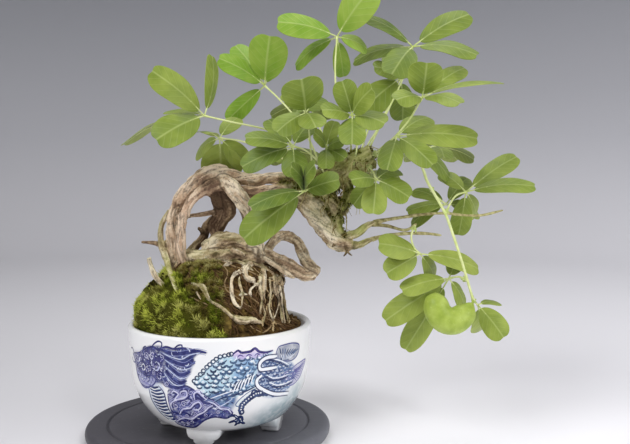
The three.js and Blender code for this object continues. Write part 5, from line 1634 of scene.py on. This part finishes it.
def moss_thread(build, root, normal, draw):
    """A thin dry thread that leaves the moss and hangs down in a loose curve."""
    centres = [root]
    heading = (normal + Vector((0, 0, 0.2))).normalized()
    for _ in range(draw.randint(5, 11)):
        sway = Vector((draw.uniform(-1, 1), draw.uniform(-1, 1), draw.uniform(-1.3, 0.5)))
        heading = (heading + sway * 0.42 + Vector((0, 0, -0.12))).normalized()
        centres.append(centres[-1] + heading * 0.9 * MM)
    radius = draw.uniform(0.12, 0.26) * MM
    tone = draw.choice((0.35, 0.6, 0.8, 1.0))
    tube(build, centres, [radius] * len(centres), 4, mark=(1, tone, 1))


# Fine roots that mat the bare side of the mound

FINE_ROOTS = 250
BOLD_SHARE = 0.06
BOLD_FROM = -60
FRONT_ANGLES = (-2.9, -1.2)


def fine_root_material():
    paint = Paint("fine_roots", roughness=0.8, specular=0.2)
    tone, _, _ = paint.marks()
    fine = paint.noise(500, 4)
    base = paint.ramp(tone, (0.0, (66, 46, 24)), (0.5, (122, 92, 56)), (1.0, (206, 182, 136)))
    paint.colour(paint.mix(paint.grey(fine, 0.3, 0.7, 0.35, 0), base, linear(60, 40, 28)))
    paint.bump(fine, 0.0003, 0.5)
    return paint.material


def make_fine_roots():
    draw = random.Random(31)
    build = Build()
    for _ in range(FINE_ROOTS):
        angle = math.radians(draw.uniform(-150, 100) if draw.random() < 0.82 else draw.uniform(100, 210))
        share = draw.uniform(0.4, 1.0)
        goal = share - draw.uniform(0.25, 0.85)
        front = FRONT_ANGLES[0] < angle < FRONT_ANGLES[1]
        drift = draw.uniform(0.1, 0.6) if front else draw.uniform(-0.25, 0.25)
        bold = draw.random() < BOLD_SHARE and angle > math.radians(BOLD_FROM)
        height = draw.uniform(0.0, 0.7)
        thick = draw.uniform(0.45, 0.8) if bold else draw.uniform(0.14, 0.4)
        tone = draw.uniform(0.55, 1) if bold else 0.06 + draw.random() ** 2.1 * 0.74
        centres, radii = [], []
        while share > max(goal, 0.06):
            place = mound_at(angle, min(share, 0.985))
            outward = out_of_mound(place)
            lift = height + 0.6 * noise.noise(place * 180) + 0.3 * math.sin(share * 23 + drift * 40)
            centres.append(place + outward * lift * MM)
            radii.append(thick * MM)
            share -= 0.016
            drift += draw.uniform(-0.12, 0.12)
            drift *= 0.96 if front else 0.93
            angle += drift * 0.12
        sparse = MOSSY_SLOPE[0] < math.degrees(angle) % 360 < MOSSY_SLOPE[1] and draw.random() < 0.7
        if len(centres) > 4 and not sparse:
            radii[-1] *= 0.4
            tube(build, centres, radii, 5, mark=(tone, 0, 0))
    build.piece("fine_roots", [fine_root_material()], "soil")


# Leaves
# A stalk point is (right, up, back). A leaflet is the place of its tip, its width, how far its
# upper face turns to the front and, where it needs it, to the right, in degrees. A tone says how
# light and yellow the green is, from 0 to 1; on some leaves it also carries painted shade.

LEAVES = {
    "leaf_far_left": {
        "tone": 0.55,
        "stalk": [(47, 139, -2), (43, 152, 0), (38, 164, 0), (26, 169.5, -5), (7.5, 173.5, -12),
                  (-8, 177, -16)],
        "leaflets": [(-38, 202.5, -30, 16, 60), (-54.5, 160, 6, 13, 4), (-36, 163, -34, 18, 70),
            (-30, 179, -2, 10, 20), (-3.5, 211, -8, 12, 30, 55)],
    },
    "leaf_high_left": {
        "tone": 0.6,
        "stalk": [(58, 141, 1), (54, 156, 6), (47, 170, 9), (40, 179.5, 12), (32, 188, 15),
                  (25.8, 193.6, 18)],
        "leaflets": [(29, 222, 4, 22, 70), (-0.5, 209, 6, 13, 60), (4.5, 174, 24, 11, 60, 30),
            (33, 206, 34, 9, 40), (9, 216, 38, 13, 60)],
    },
    "leaf_top": {
        "tone": 0.65,
        "stalk": [(73, 149, -6), (74, 163, -5), (72.5, 175, -4), (66.5, 185, -2), (65, 202.5, 2),
                  (66, 220.5, 6)],
        "leaflets": [(86.5, 249, -6, 20, 70), (32, 228.5, -2, 16, 60), (42.5, 203.5, 20, 12, 50),
            (69.5, 198, 22, 10, 70), (83, 213.5, 14, 12, 50)],
    },
    "leaf_front_left": {
        "tone": 0.4,
        "stalk": [(54, 141, -9), (52, 152, -14), (51, 163.5, -18), (50, 172, -22), (48.5, 178.5, -25)],
        "leaflets": [(46, 198, -40, 22, 60), (32, 167.5, -36, 14, 55), (57.5, 187.5, -14, 14, 50),
            (54.5, 170, -48, 14, 55), (38, 190, -4, 12, 40)],
    },
    "leaf_over_arch": {
        "tone": 0.66,
        "stalk": [(42, 141, 2), (37, 152, 2), (24, 159, 1), (12, 163, 0), (0.5, 164.5, -2)],
        "leaflets": [(2, 141, 9, 23, 85), (-13, 154.5, 12, 12, 50), (16, 149, 9, 13, 70),
                     (-11, 168, -18, 11, 8),
            (11, 176, 12, 11, 40)],
    },
    "leaf_mid_left": {
        "tone": 0.24,
        "stalk": [(60, 143, -10), (55, 152, -15), (48, 158, -19), (41.5, 160, -20)],
        "leaflets": [(14, 164.5, -30, 11, 50), (12, 148, -26, 13, 60), (43, 142.5, -28, 14, 75),
            (52, 173, -4, 11, 40), (27, 175, -4, 11, 40)],
    },
    "leaf_young": {
        "tone": 0.5,
        "stalk": [(66, 146, -11), (63, 154, -13), (60, 159, -14)],
        "leaflets": [(71, 163.5, -22, 9, 50), (60, 147, -30, 9, 75), (65, 174.5, -10, 9, 40),
            (53, 168, -26, 8, 60), (71, 153, -26, 8, 70)],
    },
    "leaf_before_trunk": {
        # Its low tone is partly painted shade, for the shade it lies in before the trunk.
        "tone": 0.26,
        "stalk": [(57, 137, -8), (54, 137.5, -17), (48, 135, -22)],
        "leaflets": [(16.5, 125.5, -38, 13, 40), (12.5, 107, -26, 18, 70), (54, 150, -46, 11, 60),
            (68, 141.5, -34, 12, 70), (40, 149, -44, 10, 60)],
    },
    "leaf_high_right": {
        "tone": 0.32,
        "stalk": [(82, 154, -7), (87, 165, -2), (93.5, 178, 2), (102, 196, 8), (108, 215, 10)],
        "leaflets": [(80, 231.5, 4, 11, 40), (74.5, 206.5, 28, 12, 50), (140, 233, 24, 15, 60),
            (145, 210, -8, 13, 40), (96, 199, -14, 17, 65)],
    },
    "leaf_right": {
        "tone": 0.56,
        "stalk": [(86, 155, -15), (92, 160, -17), (98.5, 165.5, -18), (106.5, 175, -19), (113.5, 187, -20)],
        "leaflets": [(116, 207, -30, 18, 75), (98.5, 185.5, -34, 13, 50), (159, 195, -6, 12, 12),
            (135.5, 183.5, -44, 12, 40), (137.5, 203.5, 6, 11, 60)],
    },
    "leaf_mid_right": {
        "tone": 0.55,
        "stalk": [(78.5, 150, -6), (83.5, 161, 2), (89, 170, 8), (94.5, 182, 14), (101.5, 198, 20)],
        "leaflets": [(79.5, 179, 14, 17, 70), (94.5, 211, 36, 12, 60), (102.5, 174, 36, 15, 60),
            (123.5, 194.5, 38, 13, 50), (86, 204, 10, 13, 50)],
    },
    "leaf_centre": {
        "tone": 0.5,
        "stalk": [(75, 149, -14), (77, 158, -18), (77, 168, -22), (74.5, 177, -24)],
        "leaflets": [(68.5, 197, -30, 13, 70), (86, 192.5, -40, 14, 60), (93.5, 172.5, -36, 14, 50),
            (74.5, 160.5, -42, 14, 70),
            (57, 180, -34, 12, 50)],
    },
    "leaf_below_limb": {
        "tone": 0.5,
        "stalk": [(83, 150, -16), (86.5, 145.5, -20), (88, 141.5, -22)],
        "leaflets": [(86.5, 121.5, -32, 13.5, 80), (107.5, 131, -28, 13, 65), (100.5, 147, -6, 12, 40),
            (75, 126.5, -18, 11, 60), (73.5, 141, -36, 11, 60)],
    },
    "leaf_low_right": {
        "tone": 0.72,
        "stalk": [(110, 115.8, -14.8), (108, 109.5, -16), (109.5, 103.5, -14), (113, 99.5, -12)],
        "leaflets": [(89, 105.5, -22, 14, 60), (93.5, 88, -18, 14, 70), (147, 90.5, -4, 13, 45),
            (121, 85, 5, 11, 60), (97, 97, -2, 11, 60)],
    },
}

# Leaves at the back of the tree, each spread evenly round the end of its stalk.
BACK_LEAVES = {
    "leaf_back_left": {"stalk": [(49, 139, 3), (45, 150, 24), (40, 158, 42)], "heading": 125, "tone": 0.4},
    "leaf_back_upper": {"stalk": [(64, 144, 0), (59, 164, 20), (50, 184, 38)], "heading": 115, "tone": 0.4},
    "leaf_back_lower": {"stalk": [(70, 145, -1), (76, 148, 28), (82, 146, 50)], "heading": 85, "tone": 0.35},
    "leaf_back_high": {"stalk": [(77, 150, -4), (84, 171, 26), (90, 189, 54)], "heading": 72, "tone": 0.45},
    "leaf_back_right": {"stalk": [(83, 153, -5), (104, 158, 18), (122, 160, 38)], "heading": 50,
                        "tone": 0.45},
}
BACK_LEAFLET_LENGTH = 25
BACK_LEAFLET_WIDTH = 13
BACK_LEAFLET_DROOP = 0.35
BACK_LEAFLET_SPREAD = 68
BACK_FACE_LEAN = -35

# The hanging shoot, its leaves and where they grow on it.
SHOOT = [
    (84, 152, -10), (90, 157, -12), (96, 160, -13), (102.5, 159.5, -14), (112.5, 150.5, -16),
    (116.5, 141, -17),
    (119, 136.5, -17), (127, 122.5, -18), (131, 112, -18), (136, 97.5, -18), (140, 84.5, -17),
    (143.5, 73, -16),
]
SHOOT_LEAVES = [
    {
        "tone": 0.55,
        "stalk": [(95, 159.6, -13), (97.5, 163, -14), (99.5, 165.5, -14)],
        "leaflets": [(146, 164, -22, 15, 55), (120.5, 149, -32, 13, 60), (130, 141, 12, 11, 60, 20),
            (94, 146, -32, 13, 60), (118, 176, 8, 14, 40)],
    },
    {
        "tone": 0.6,
        "stalk": [(127, 122.5, -18), (132.5, 132, -8), (138.5, 134.5, 2)],
        "leaflets": [(167.5, 154.5, 24, 12, 60), (178.5, 137.5, -2, 11, 45), (144, 120, 18, 10, 60),
            (134.5, 109.5, 10, 12, 60), (124, 145, 16, 10, 50)],
    },
    {
        "tone": 0.6,
        "stalk": [(119, 136.5, -17), (122, 132, -6), (127.5, 127.5, 8)],
        "leaflets": [(105, 123, 2, 9, 40), (107.5, 115.5, 22, 11, 45), (108.5, 135.5, 28, 10, 50),
            (139.5, 142.5, 36, 11, 60), (146, 122, 26, 12, 50)],
    },
    {
        "tone": 0.72,
        "stalk": [(140, 84.5, -17), (135, 86.5, -12), (129.5, 85.5, -7)],
        "leaflets": [(102, 78.5, -18, 12, 50), (92.5, 60.5, -8, 15, 70), (104.5, 43.5, 4, 14, 70),
            (138.5, 68, 2, 10, 60, 30), (135, 97, 18, 11, 50)],
    },
    {
        "tone": 0.7,
        "stalk": [(143.5, 73, -16), (145, 71.5, -10), (146, 70.5, -6)],
        "leaflets": [(161.5, 51, -14, 14, 70), (159, 71, 8, 6, 30), (147, 55, 18, 12, 70)],
    },
]

# Leaves of a fresher green than the others.
FRESH_LEAVES = {"leaf_high_left", "leaf_top"}

LEAFLET_ALONG = 18
LEAFLET_ACROSS = 12
LEAFLET_STALK_SHARE = 0.12
LEAFLET_ARCH = 0.09
LEAFLET_FOLD = 0.16
LEAFLET_THICKNESS = 0.3
NOTCH_DEPTH = 0.042
LEAF_STALK_RADIUS = 0.52
SHOOT_RADIUS = 0.78


def leaf_material(name, dark, middle, bright, vein_share):
    paint = Paint(name, roughness=0.5, specular=0.35, sheen=0.1)
    across, along, tone = paint.marks()
    outward = paint.math("ABSOLUTE", across)
    patches = paint.noise(130, 3)
    shade = paint.math("ADD", tone, paint.grey(patches, 0.3, 0.7, -0.16, 0.16))
    shade = paint.math("ADD", shade, paint.grey(outward, 0, 1, -0.06, 0.08))
    base = paint.ramp(shade, (0.0, dark), (0.5, middle), (1.0, bright))
    slant = paint.math("SUBTRACT", along, paint.math("MULTIPLY", outward, 0.3))
    step = paint.math("FRACT", paint.math("MULTIPLY", slant, 6.5))
    from_vein = paint.math("ABSOLUTE", paint.math("SUBTRACT", step, 0.5))
    side_vein = paint.grey(from_vein, 0.43, 0.5, 0, 0.55)
    midrib = paint.grey(outward, 0.09, 0.02, 0, 1)
    veins = paint.math("MAXIMUM", side_vein, midrib)
    paint.colour(paint.mix(paint.math("MULTIPLY", veins, vein_share), base, linear(206, 218, 140)))
    paint.bump(paint.math("SUBTRACT", paint.math("MULTIPLY", from_vein, -0.6), veins), 0.0003, 0.5)
    paint.rough(paint.grey(patches, 0.3, 0.7, 0.42, 0.58))
    return paint.material


def stalk_material():
    paint = Paint("pale_stalk", roughness=0.5, specular=0.4)
    streaks = paint.noise(240, 3)
    tint, _, _ = paint.marks()
    green = paint.ramp(streaks, (0.3, (208, 222, 132)), (0.7, (238, 244, 180)))
    paint.colour(paint.mix(tint, green, linear(160, 182, 84)))
    paint.bump(streaks, 0.0002, 0.3)
    return paint.material


def face_direction(front, side):
    turn, sideways = math.radians(front), math.radians(side)
    return Vector((math.sin(sideways), -math.sin(turn) * math.cos(sideways),
                   math.cos(turn) * math.cos(sideways)))


def leaflet_place(u, v):
    """A square's point as a leaflet's point: to the side and along, each from -1 to 1."""
    x = u * math.sqrt(1 - v * v / 2)
    y = v * math.sqrt(1 - u * u / 2)
    blunt = 2.7 if y > 0 else 1.9
    rim = math.sqrt(blunt / 2)
    if abs(y) < 0.999:
        rim = math.sqrt((1 - abs(y) ** blunt) / (1 - y * y))
    notch = 2 * NOTCH_DEPTH * math.exp(-(x / 0.24) ** 2) * max(0, (y - 0.55) / 0.45) ** 2
    return x * rim * (1 + 0.14 * y), y - notch


def leaflet(build, hub, tip, width, face, tone, draw):
    """One leaflet: a thin arched blade with a notch at its tip, on its own short stalk."""
    along = tip - hub
    length = along.length
    along.normalize()
    upper = (face - along * face.dot(along)).normalized()
    across = along.cross(upper)
    phase = draw.uniform(0, math.tau)
    wave = draw.uniform(0.01, 0.03) * width
    half = LEAFLET_THICKNESS / 2 * MM
    width *= MM
    top, under, marks = [], [], []
    for row in range(LEAFLET_ALONG + 1):
        for column in range(LEAFLET_ACROSS + 1):
            side, way = leaflet_place(2 * column / LEAFLET_ACROSS - 1, 2 * row / LEAFLET_ALONG - 1)
            blade = (way + 1) / 2
            share = LEAFLET_STALK_SHARE + (1 - LEAFLET_STALK_SHARE) * blade
            reach = side * width / 2
            lift = LEAFLET_ARCH * length * math.sin(math.pi * share)
            lift -= LEAFLET_FOLD * (math.hypot(reach, 0.5 * MM) - 0.5 * MM)
            lift += wave * MM * math.sin(7 * share + phase) * side * side * 2
            place = hub + along * share * length + across * reach + upper * lift
            top.append(place + upper * half)
            under.append(place - upper * half)
            marks.append((side, blade, tone))
    columns = LEAFLET_ACROSS + 1
    faces, faces_under = [], []
    for row in range(LEAFLET_ALONG):
        for column in range(LEAFLET_ACROSS):
            a = row * columns + column
            faces.append((a, a + columns, a + columns + 1, a + 1))
            faces_under.append((a, a + 1, a + columns + 1, a + columns))
    build.add(top, faces, 0, marks)
    build.add(under, faces_under, 1, marks)
    last_row = LEAFLET_ALONG * columns
    edge = [column for column in range(columns)]
    edge += [row * columns + columns - 1 for row in range(1, LEAFLET_ALONG + 1)]
    edge += [last_row + column for column in reversed(range(columns - 1))]
    edge += [row * columns for row in reversed(range(1, LEAFLET_ALONG))]
    rim = [top[index] for index in edge] + [under[index] for index in edge]
    count = len(edge)
    faces = [(index, (index + 1) % count, count + (index + 1) % count,
              count + index) for index in range(count)]
    build.add(rim, faces, 1, [marks[index] for index in edge] * 2)
    leaflet_stalk(build, hub, along, upper, length, half)


def leaflet_stalk(build, hub, along, upper, length, half):
    """The leaflet's own short stalk, which runs on under the blade as its midrib."""
    centres, radii = [], []
    for share, radius in ((0, 0.5), (0.06, 0.42), (0.13, 0.42), (0.3, 0.34), (0.5, 0.26), (0.7, 0.18),
                          (0.88, 0.1)):
        lift = LEAFLET_ARCH * length * math.sin(math.pi * share)
        below = half if share > LEAFLET_STALK_SHARE else 0
        centres.append(hub + along * share * length + upper * (lift - below))
        radii.append(radius * MM)
    tube(build, centres, radii, 6, 2, mark=(0.1, 0, 0))


def stalk(build, points, radius):
    """A leaf's stalk, thicker at its foot, with a small knot where its leaflets spread."""
    rows = smooth_path([seen(*point) for point in points], 1.6 * MM)
    count = len(rows)
    radii = []
    for index in range(count):
        share = index / (count - 1)
        knot = 0.35 * math.exp(-((1 - share) * count / 1.3) ** 2)
        knot += 0.3 * math.exp(-(share * count / 1.5) ** 2)
        radii.append((radius * (1.1 - 0.2 * share) + knot) * MM)
    tube(build, [Vector(row) for row in rows], radii, 8, 2)
    return Vector(rows[-1])


def leaf(build, parts, draw):
    """A stalk with its leaflets, each from the stalk's end to the place of its tip."""
    hub = stalk(build, parts["stalk"], LEAF_STALK_RADIUS)
    for right, up, back, width, front, *side in parts["leaflets"]:
        face = face_direction(front, side[0] if side else 0)
        shade = parts["tone"] + draw.uniform(-0.14, 0.14)
        leaflet(build, hub, seen(right, up, back), width, face, shade, draw)


def buds(build, stalk_points, draw):
    """Small pointed bud scales round the foot of a stalk."""
    foot = seen(*stalk_points[0])
    heading = (seen(*stalk_points[1]) - foot).normalized()
    side = heading.orthogonal().normalized()
    across = heading.cross(side)
    turn = draw.random() * math.tau
    for scale in range(4):
        angle = turn + scale * math.tau / 4
        lean = side * math.cos(angle) + across * math.sin(angle)
        length = draw.uniform(2.2, 3.6) * MM
        start = foot + heading * 0.6 * MM
        centres = [start + (heading * share + lean * 0.55 * math.sin(share * 1.5)) * length
                   for share in (0, 0.35, 0.7, 1)]
        tube(build, centres, [radius * MM for radius in (0.55, 0.7, 0.45, 0.08)], 6, 2, mark=(0.5, 0, 0))


def spread_leaf(build, parts, draw):
    """Five leaflets at even angles round the hub, the middle one along the heading."""
    hub = stalk(build, parts["stalk"], LEAF_STALK_RADIUS)
    for place in (-2, -1, 0, 1, 2):
        angle = math.radians(parts["heading"] + place * BACK_LEAFLET_SPREAD)
        length = BACK_LEAFLET_LENGTH * (1 - abs(place) * 0.08) * MM
        reach = Vector((math.cos(angle), math.sin(angle), -BACK_LEAFLET_DROOP)) * length
        face = face_direction(BACK_FACE_LEAN, 0)
        tone = parts["tone"] + draw.uniform(-0.12, 0.12)
        leaflet(build, hub, hub + reach, BACK_LEAFLET_WIDTH, face, tone, draw)


def make_leaves():
    upper = leaf_material("leaf_upper", linear(88, 112, 32), linear(127, 146, 50), linear(166, 181, 80), 0.3)
    fresh = leaf_material("leaf_fresh", linear(98, 136, 28), linear(126, 163, 42), linear(164, 188, 78), 0.3)
    under = leaf_material("leaf_under", linear(114, 130, 54), linear(140, 155, 70), linear(172, 186, 96),
                          0.45)
    stalks = stalk_material()
    materials = [upper, under, stalks]
    draw = random.Random(5)
    for name, parts in LEAVES.items():
        build = Build()
        leaf(build, parts, draw)
        buds(build, parts["stalk"], draw)
        build.piece(name + "_blades", [fresh if name in FRESH_LEAVES else upper, under, stalks], "leaf",
                    [name])
    for name, parts in BACK_LEAVES.items():
        build = Build()
        spread_leaf(build, parts, draw)
        build.piece(name + "_blades", materials, "leaf", [name])
    build = Build()
    stalk(build, SHOOT, SHOOT_RADIUS)
    for parts in SHOOT_LEAVES:
        leaf(build, parts, draw)
        buds(build, parts["stalk"], draw)
    build.piece("hanging_shoot_leafy", materials, "leaf", ["hanging_shoot"])


# Fruit: one curved pod, each point (right, up, back, radius)

FRUIT = [
    (143.5, 72.6, -17.2, 0.7), (142.8, 70.9, -20.5, 1), (141.4, 69, -22.5, 3.4), (139, 65.5, -24, 6.2),
    (133.5, 61.5, -25.5, 7.3), (127.5, 62, -26, 7.4), (123.6, 66.5, -25.5, 7.2), (122.4, 71.5, -25, 6.6),
    (122.2, 75.5, -24.6, 4.8), (122.2, 77.6, -24.4, 2),
]


def fruit_material():
    paint = Paint("young_pod", roughness=0.42, specular=0.4, subsurface=0.1)
    paint.shader.inputs["Subsurface Scale"].default_value = 0.003
    paint.shader.inputs["Subsurface Radius"].default_value = (0.8, 1, 0.3)
    patches = paint.noise(150, 4)
    specks = paint.noise(900, 3)
    base = paint.ramp(patches, (0.3, (146, 168, 58)), (0.5, (166, 186, 76)), (0.72, (186, 204, 100)))
    paint.colour(paint.mix(paint.grey(specks, 0.62, 0.74, 0, 0.35), base, linear(208, 218, 140)))
    paint.bump(specks, 0.0003, 0.4)
    return paint.material


def make_fruit():
    build = Build()
    rows = limb_rows(FRUIT)
    centres = [Vector(row[:3]) for row in rows]
    count = len(rows)
    radii = []
    for index, row in enumerate(rows):
        left = (count - 1 - index) * LIMB_STEP / (3.5 * MM)
        radii.append(row[3] * min(1, math.sqrt(max(0, left * (2 - left))) if left < 1 else 1) + 0.05 * MM)
    tube(build, centres, radii, 40)
    build.piece("fruit_pod", [fruit_material()], "fruit", ["fruit"])


def dress_drainage_mesh():
    paint = Paint("drainage_net", roughness=0.6, specular=0.3)
    grain = paint.noise(500, 3)
    paint.colour(paint.ramp(grain, (0.35, (34, 42, 38)), (0.65, (62, 70, 64))))
    paint.bump(grain, 0.0002, 0.3)
    plate = bpy.data.objects["drainage_mesh"]
    for slot in plate.material_slots:
        slot.material = paint.material


# Floor, backdrop and light, in metres

# Each lamp's name, place, width and power. They point at the middle of the tree.
LAMPS = [
    ("key", (-0.55, -0.75, 0.95), 0.7, 9),
    ("fill", (0.9, -0.6, 0.6), 0.8, 4.5),
    ("top", (0.1, 0.25, 1.25), 0.9, 4.5),
]
LAMP_AIM = (0.05, 0, 0.13)
FLOOR_LAMP_PLACE = (0.42, -0.6, 0.5)
FLOOR_LAMP_AIM = (0.1, -0.055, 0)
FLOOR_LAMP_POWER = 18
FLOOR_LAMP_SIZE = 0.12
FLOOR_LAMP_ANGLE = 24
ROOM_COLOUR = (0.97, 0.97, 1, 1)
ROOM_STRENGTH = 0.42
SWEEP_SIDES = 96
FLOOR_GAP = 0.0002

def stage_material():
    paint = Paint("studio_paper", roughness=0.95, specular=0.1)
    where = paint.node("ShaderNodeSeparateXYZ")
    paint.feed(where.inputs[0], paint.place())
    height = paint.grey(where.outputs[2], 0.0, 0.8)
    # Painted shade: the paper darkens as it rises from the floor up the wall.
    paper_with_painted_shade = paint.ramp(height, (0.0, (0.80, 0.79, 0.82, 1)), (0.25, (0.58, 0.58, 0.61, 1)),
                       (0.6, (0.38, 0.385, 0.41, 1)), (1.0, (0.28, 0.285, 0.305, 1)))
    # Painted light and shade: darker to the left, and on the floor lighter to the right of the stand.
    spread = paint.math("ADD", paint.math("MULTIPLY", paint.math("ABSOLUTE", where.outputs[1]), 0.36), 0.18)
    across = paint.math("DIVIDE", paint.math("SUBTRACT", where.outputs[0], 0.062), spread)
    wall_shade = paint.grey(across, -1, 1, 0.85, 1.0)
    floor_shade = paint.grey(across, -1, 1, 0.84, 1.16)
    on_wall = paint.grey(where.outputs[2], 0.0, 0.3)
    shade = paint.mix(on_wall, floor_shade, wall_shade)
    paint.colour(paint.mix(1.0, paper_with_painted_shade, shade, "MULTIPLY"))
    return paint.material


def make_stage():
    """A round studio sweep: a flat floor that curves up into a wall."""
    floor_radius, bend, wall = 0.95, 0.45, 1.1
    profile = [(0.001, 0), (0.3, 0), (0.6, 0), (floor_radius, 0)]
    for step in range(1, 13):
        angle = step / 12 * math.pi / 2
        profile.append((floor_radius + math.sin(angle) * bend, bend - math.cos(angle) * bend))
    profile.append((floor_radius + bend, bend + wall))
    vertices = []
    for radius, height in profile:
        vertices += ring_places(radius, height - FLOOR_GAP, SWEEP_SIDES)
    rings = ring_faces(len(profile) - 1, SWEEP_SIDES)
    faces = [(low, above, above_after, after) for low, after, above_after, above in rings]
    mesh = bpy.data.meshes.new("studio_sweep")
    mesh.from_pydata(vertices, [], faces)
    mesh.materials.append(stage_material())
    mesh.polygons.foreach_set("use_smooth", [True] * len(mesh.polygons))
    sweep = bpy.data.objects.new("studio_sweep", mesh)
    bpy.context.collection.objects.link(sweep)
    return sweep


def hang_lamp(lamp, place, aim):
    """Puts a lamp at a place and points it at its aim."""
    holder = bpy.data.objects.new(lamp.name, lamp)
    holder.location = place
    holder.rotation_euler = (Vector(aim) - Vector(place)).to_track_quat("-Z", "Y").to_euler()
    bpy.context.collection.objects.link(holder)
    return holder

def floor_light(lit):
    """A narrow soft lamp on the paper and the stand alone, which clears the shadow at their right."""
    lamp = bpy.data.lights.new("floor_light", "SPOT")
    lamp.energy = FLOOR_LAMP_POWER
    lamp.shadow_soft_size = FLOOR_LAMP_SIZE
    lamp.spot_size = math.radians(FLOOR_LAMP_ANGLE)
    lamp.spot_blend = 1
    receivers = bpy.data.collections.new("floor_light_receivers")
    for thing in lit:
        receivers.objects.link(thing)
    holder = hang_lamp(lamp, FLOOR_LAMP_PLACE, FLOOR_LAMP_AIM)
    holder.light_linking.receiver_collection = receivers

def make_light():
    for name, place, size, power in LAMPS:
        lamp = bpy.data.lights.new(name, "AREA")
        lamp.shape = "DISK"
        lamp.size = size
        lamp.energy = power
        hang_lamp(lamp, place, LAMP_AIM)
    world = bpy.data.worlds.new("studio")
    world.use_nodes = True
    background = world.node_tree.nodes["Background"]
    background.inputs["Color"].default_value = ROOM_COLOUR
    background.inputs["Strength"].default_value = ROOM_STRENGTH
    bpy.context.scene.world = world

make_light()
floor_light([make_stage(), make_stand()])
make_pot()
make_painting()
make_earth()
make_moss()
make_trunk()
make_fine_roots()
make_leaves()
make_fruit()
dress_drainage_mesh()
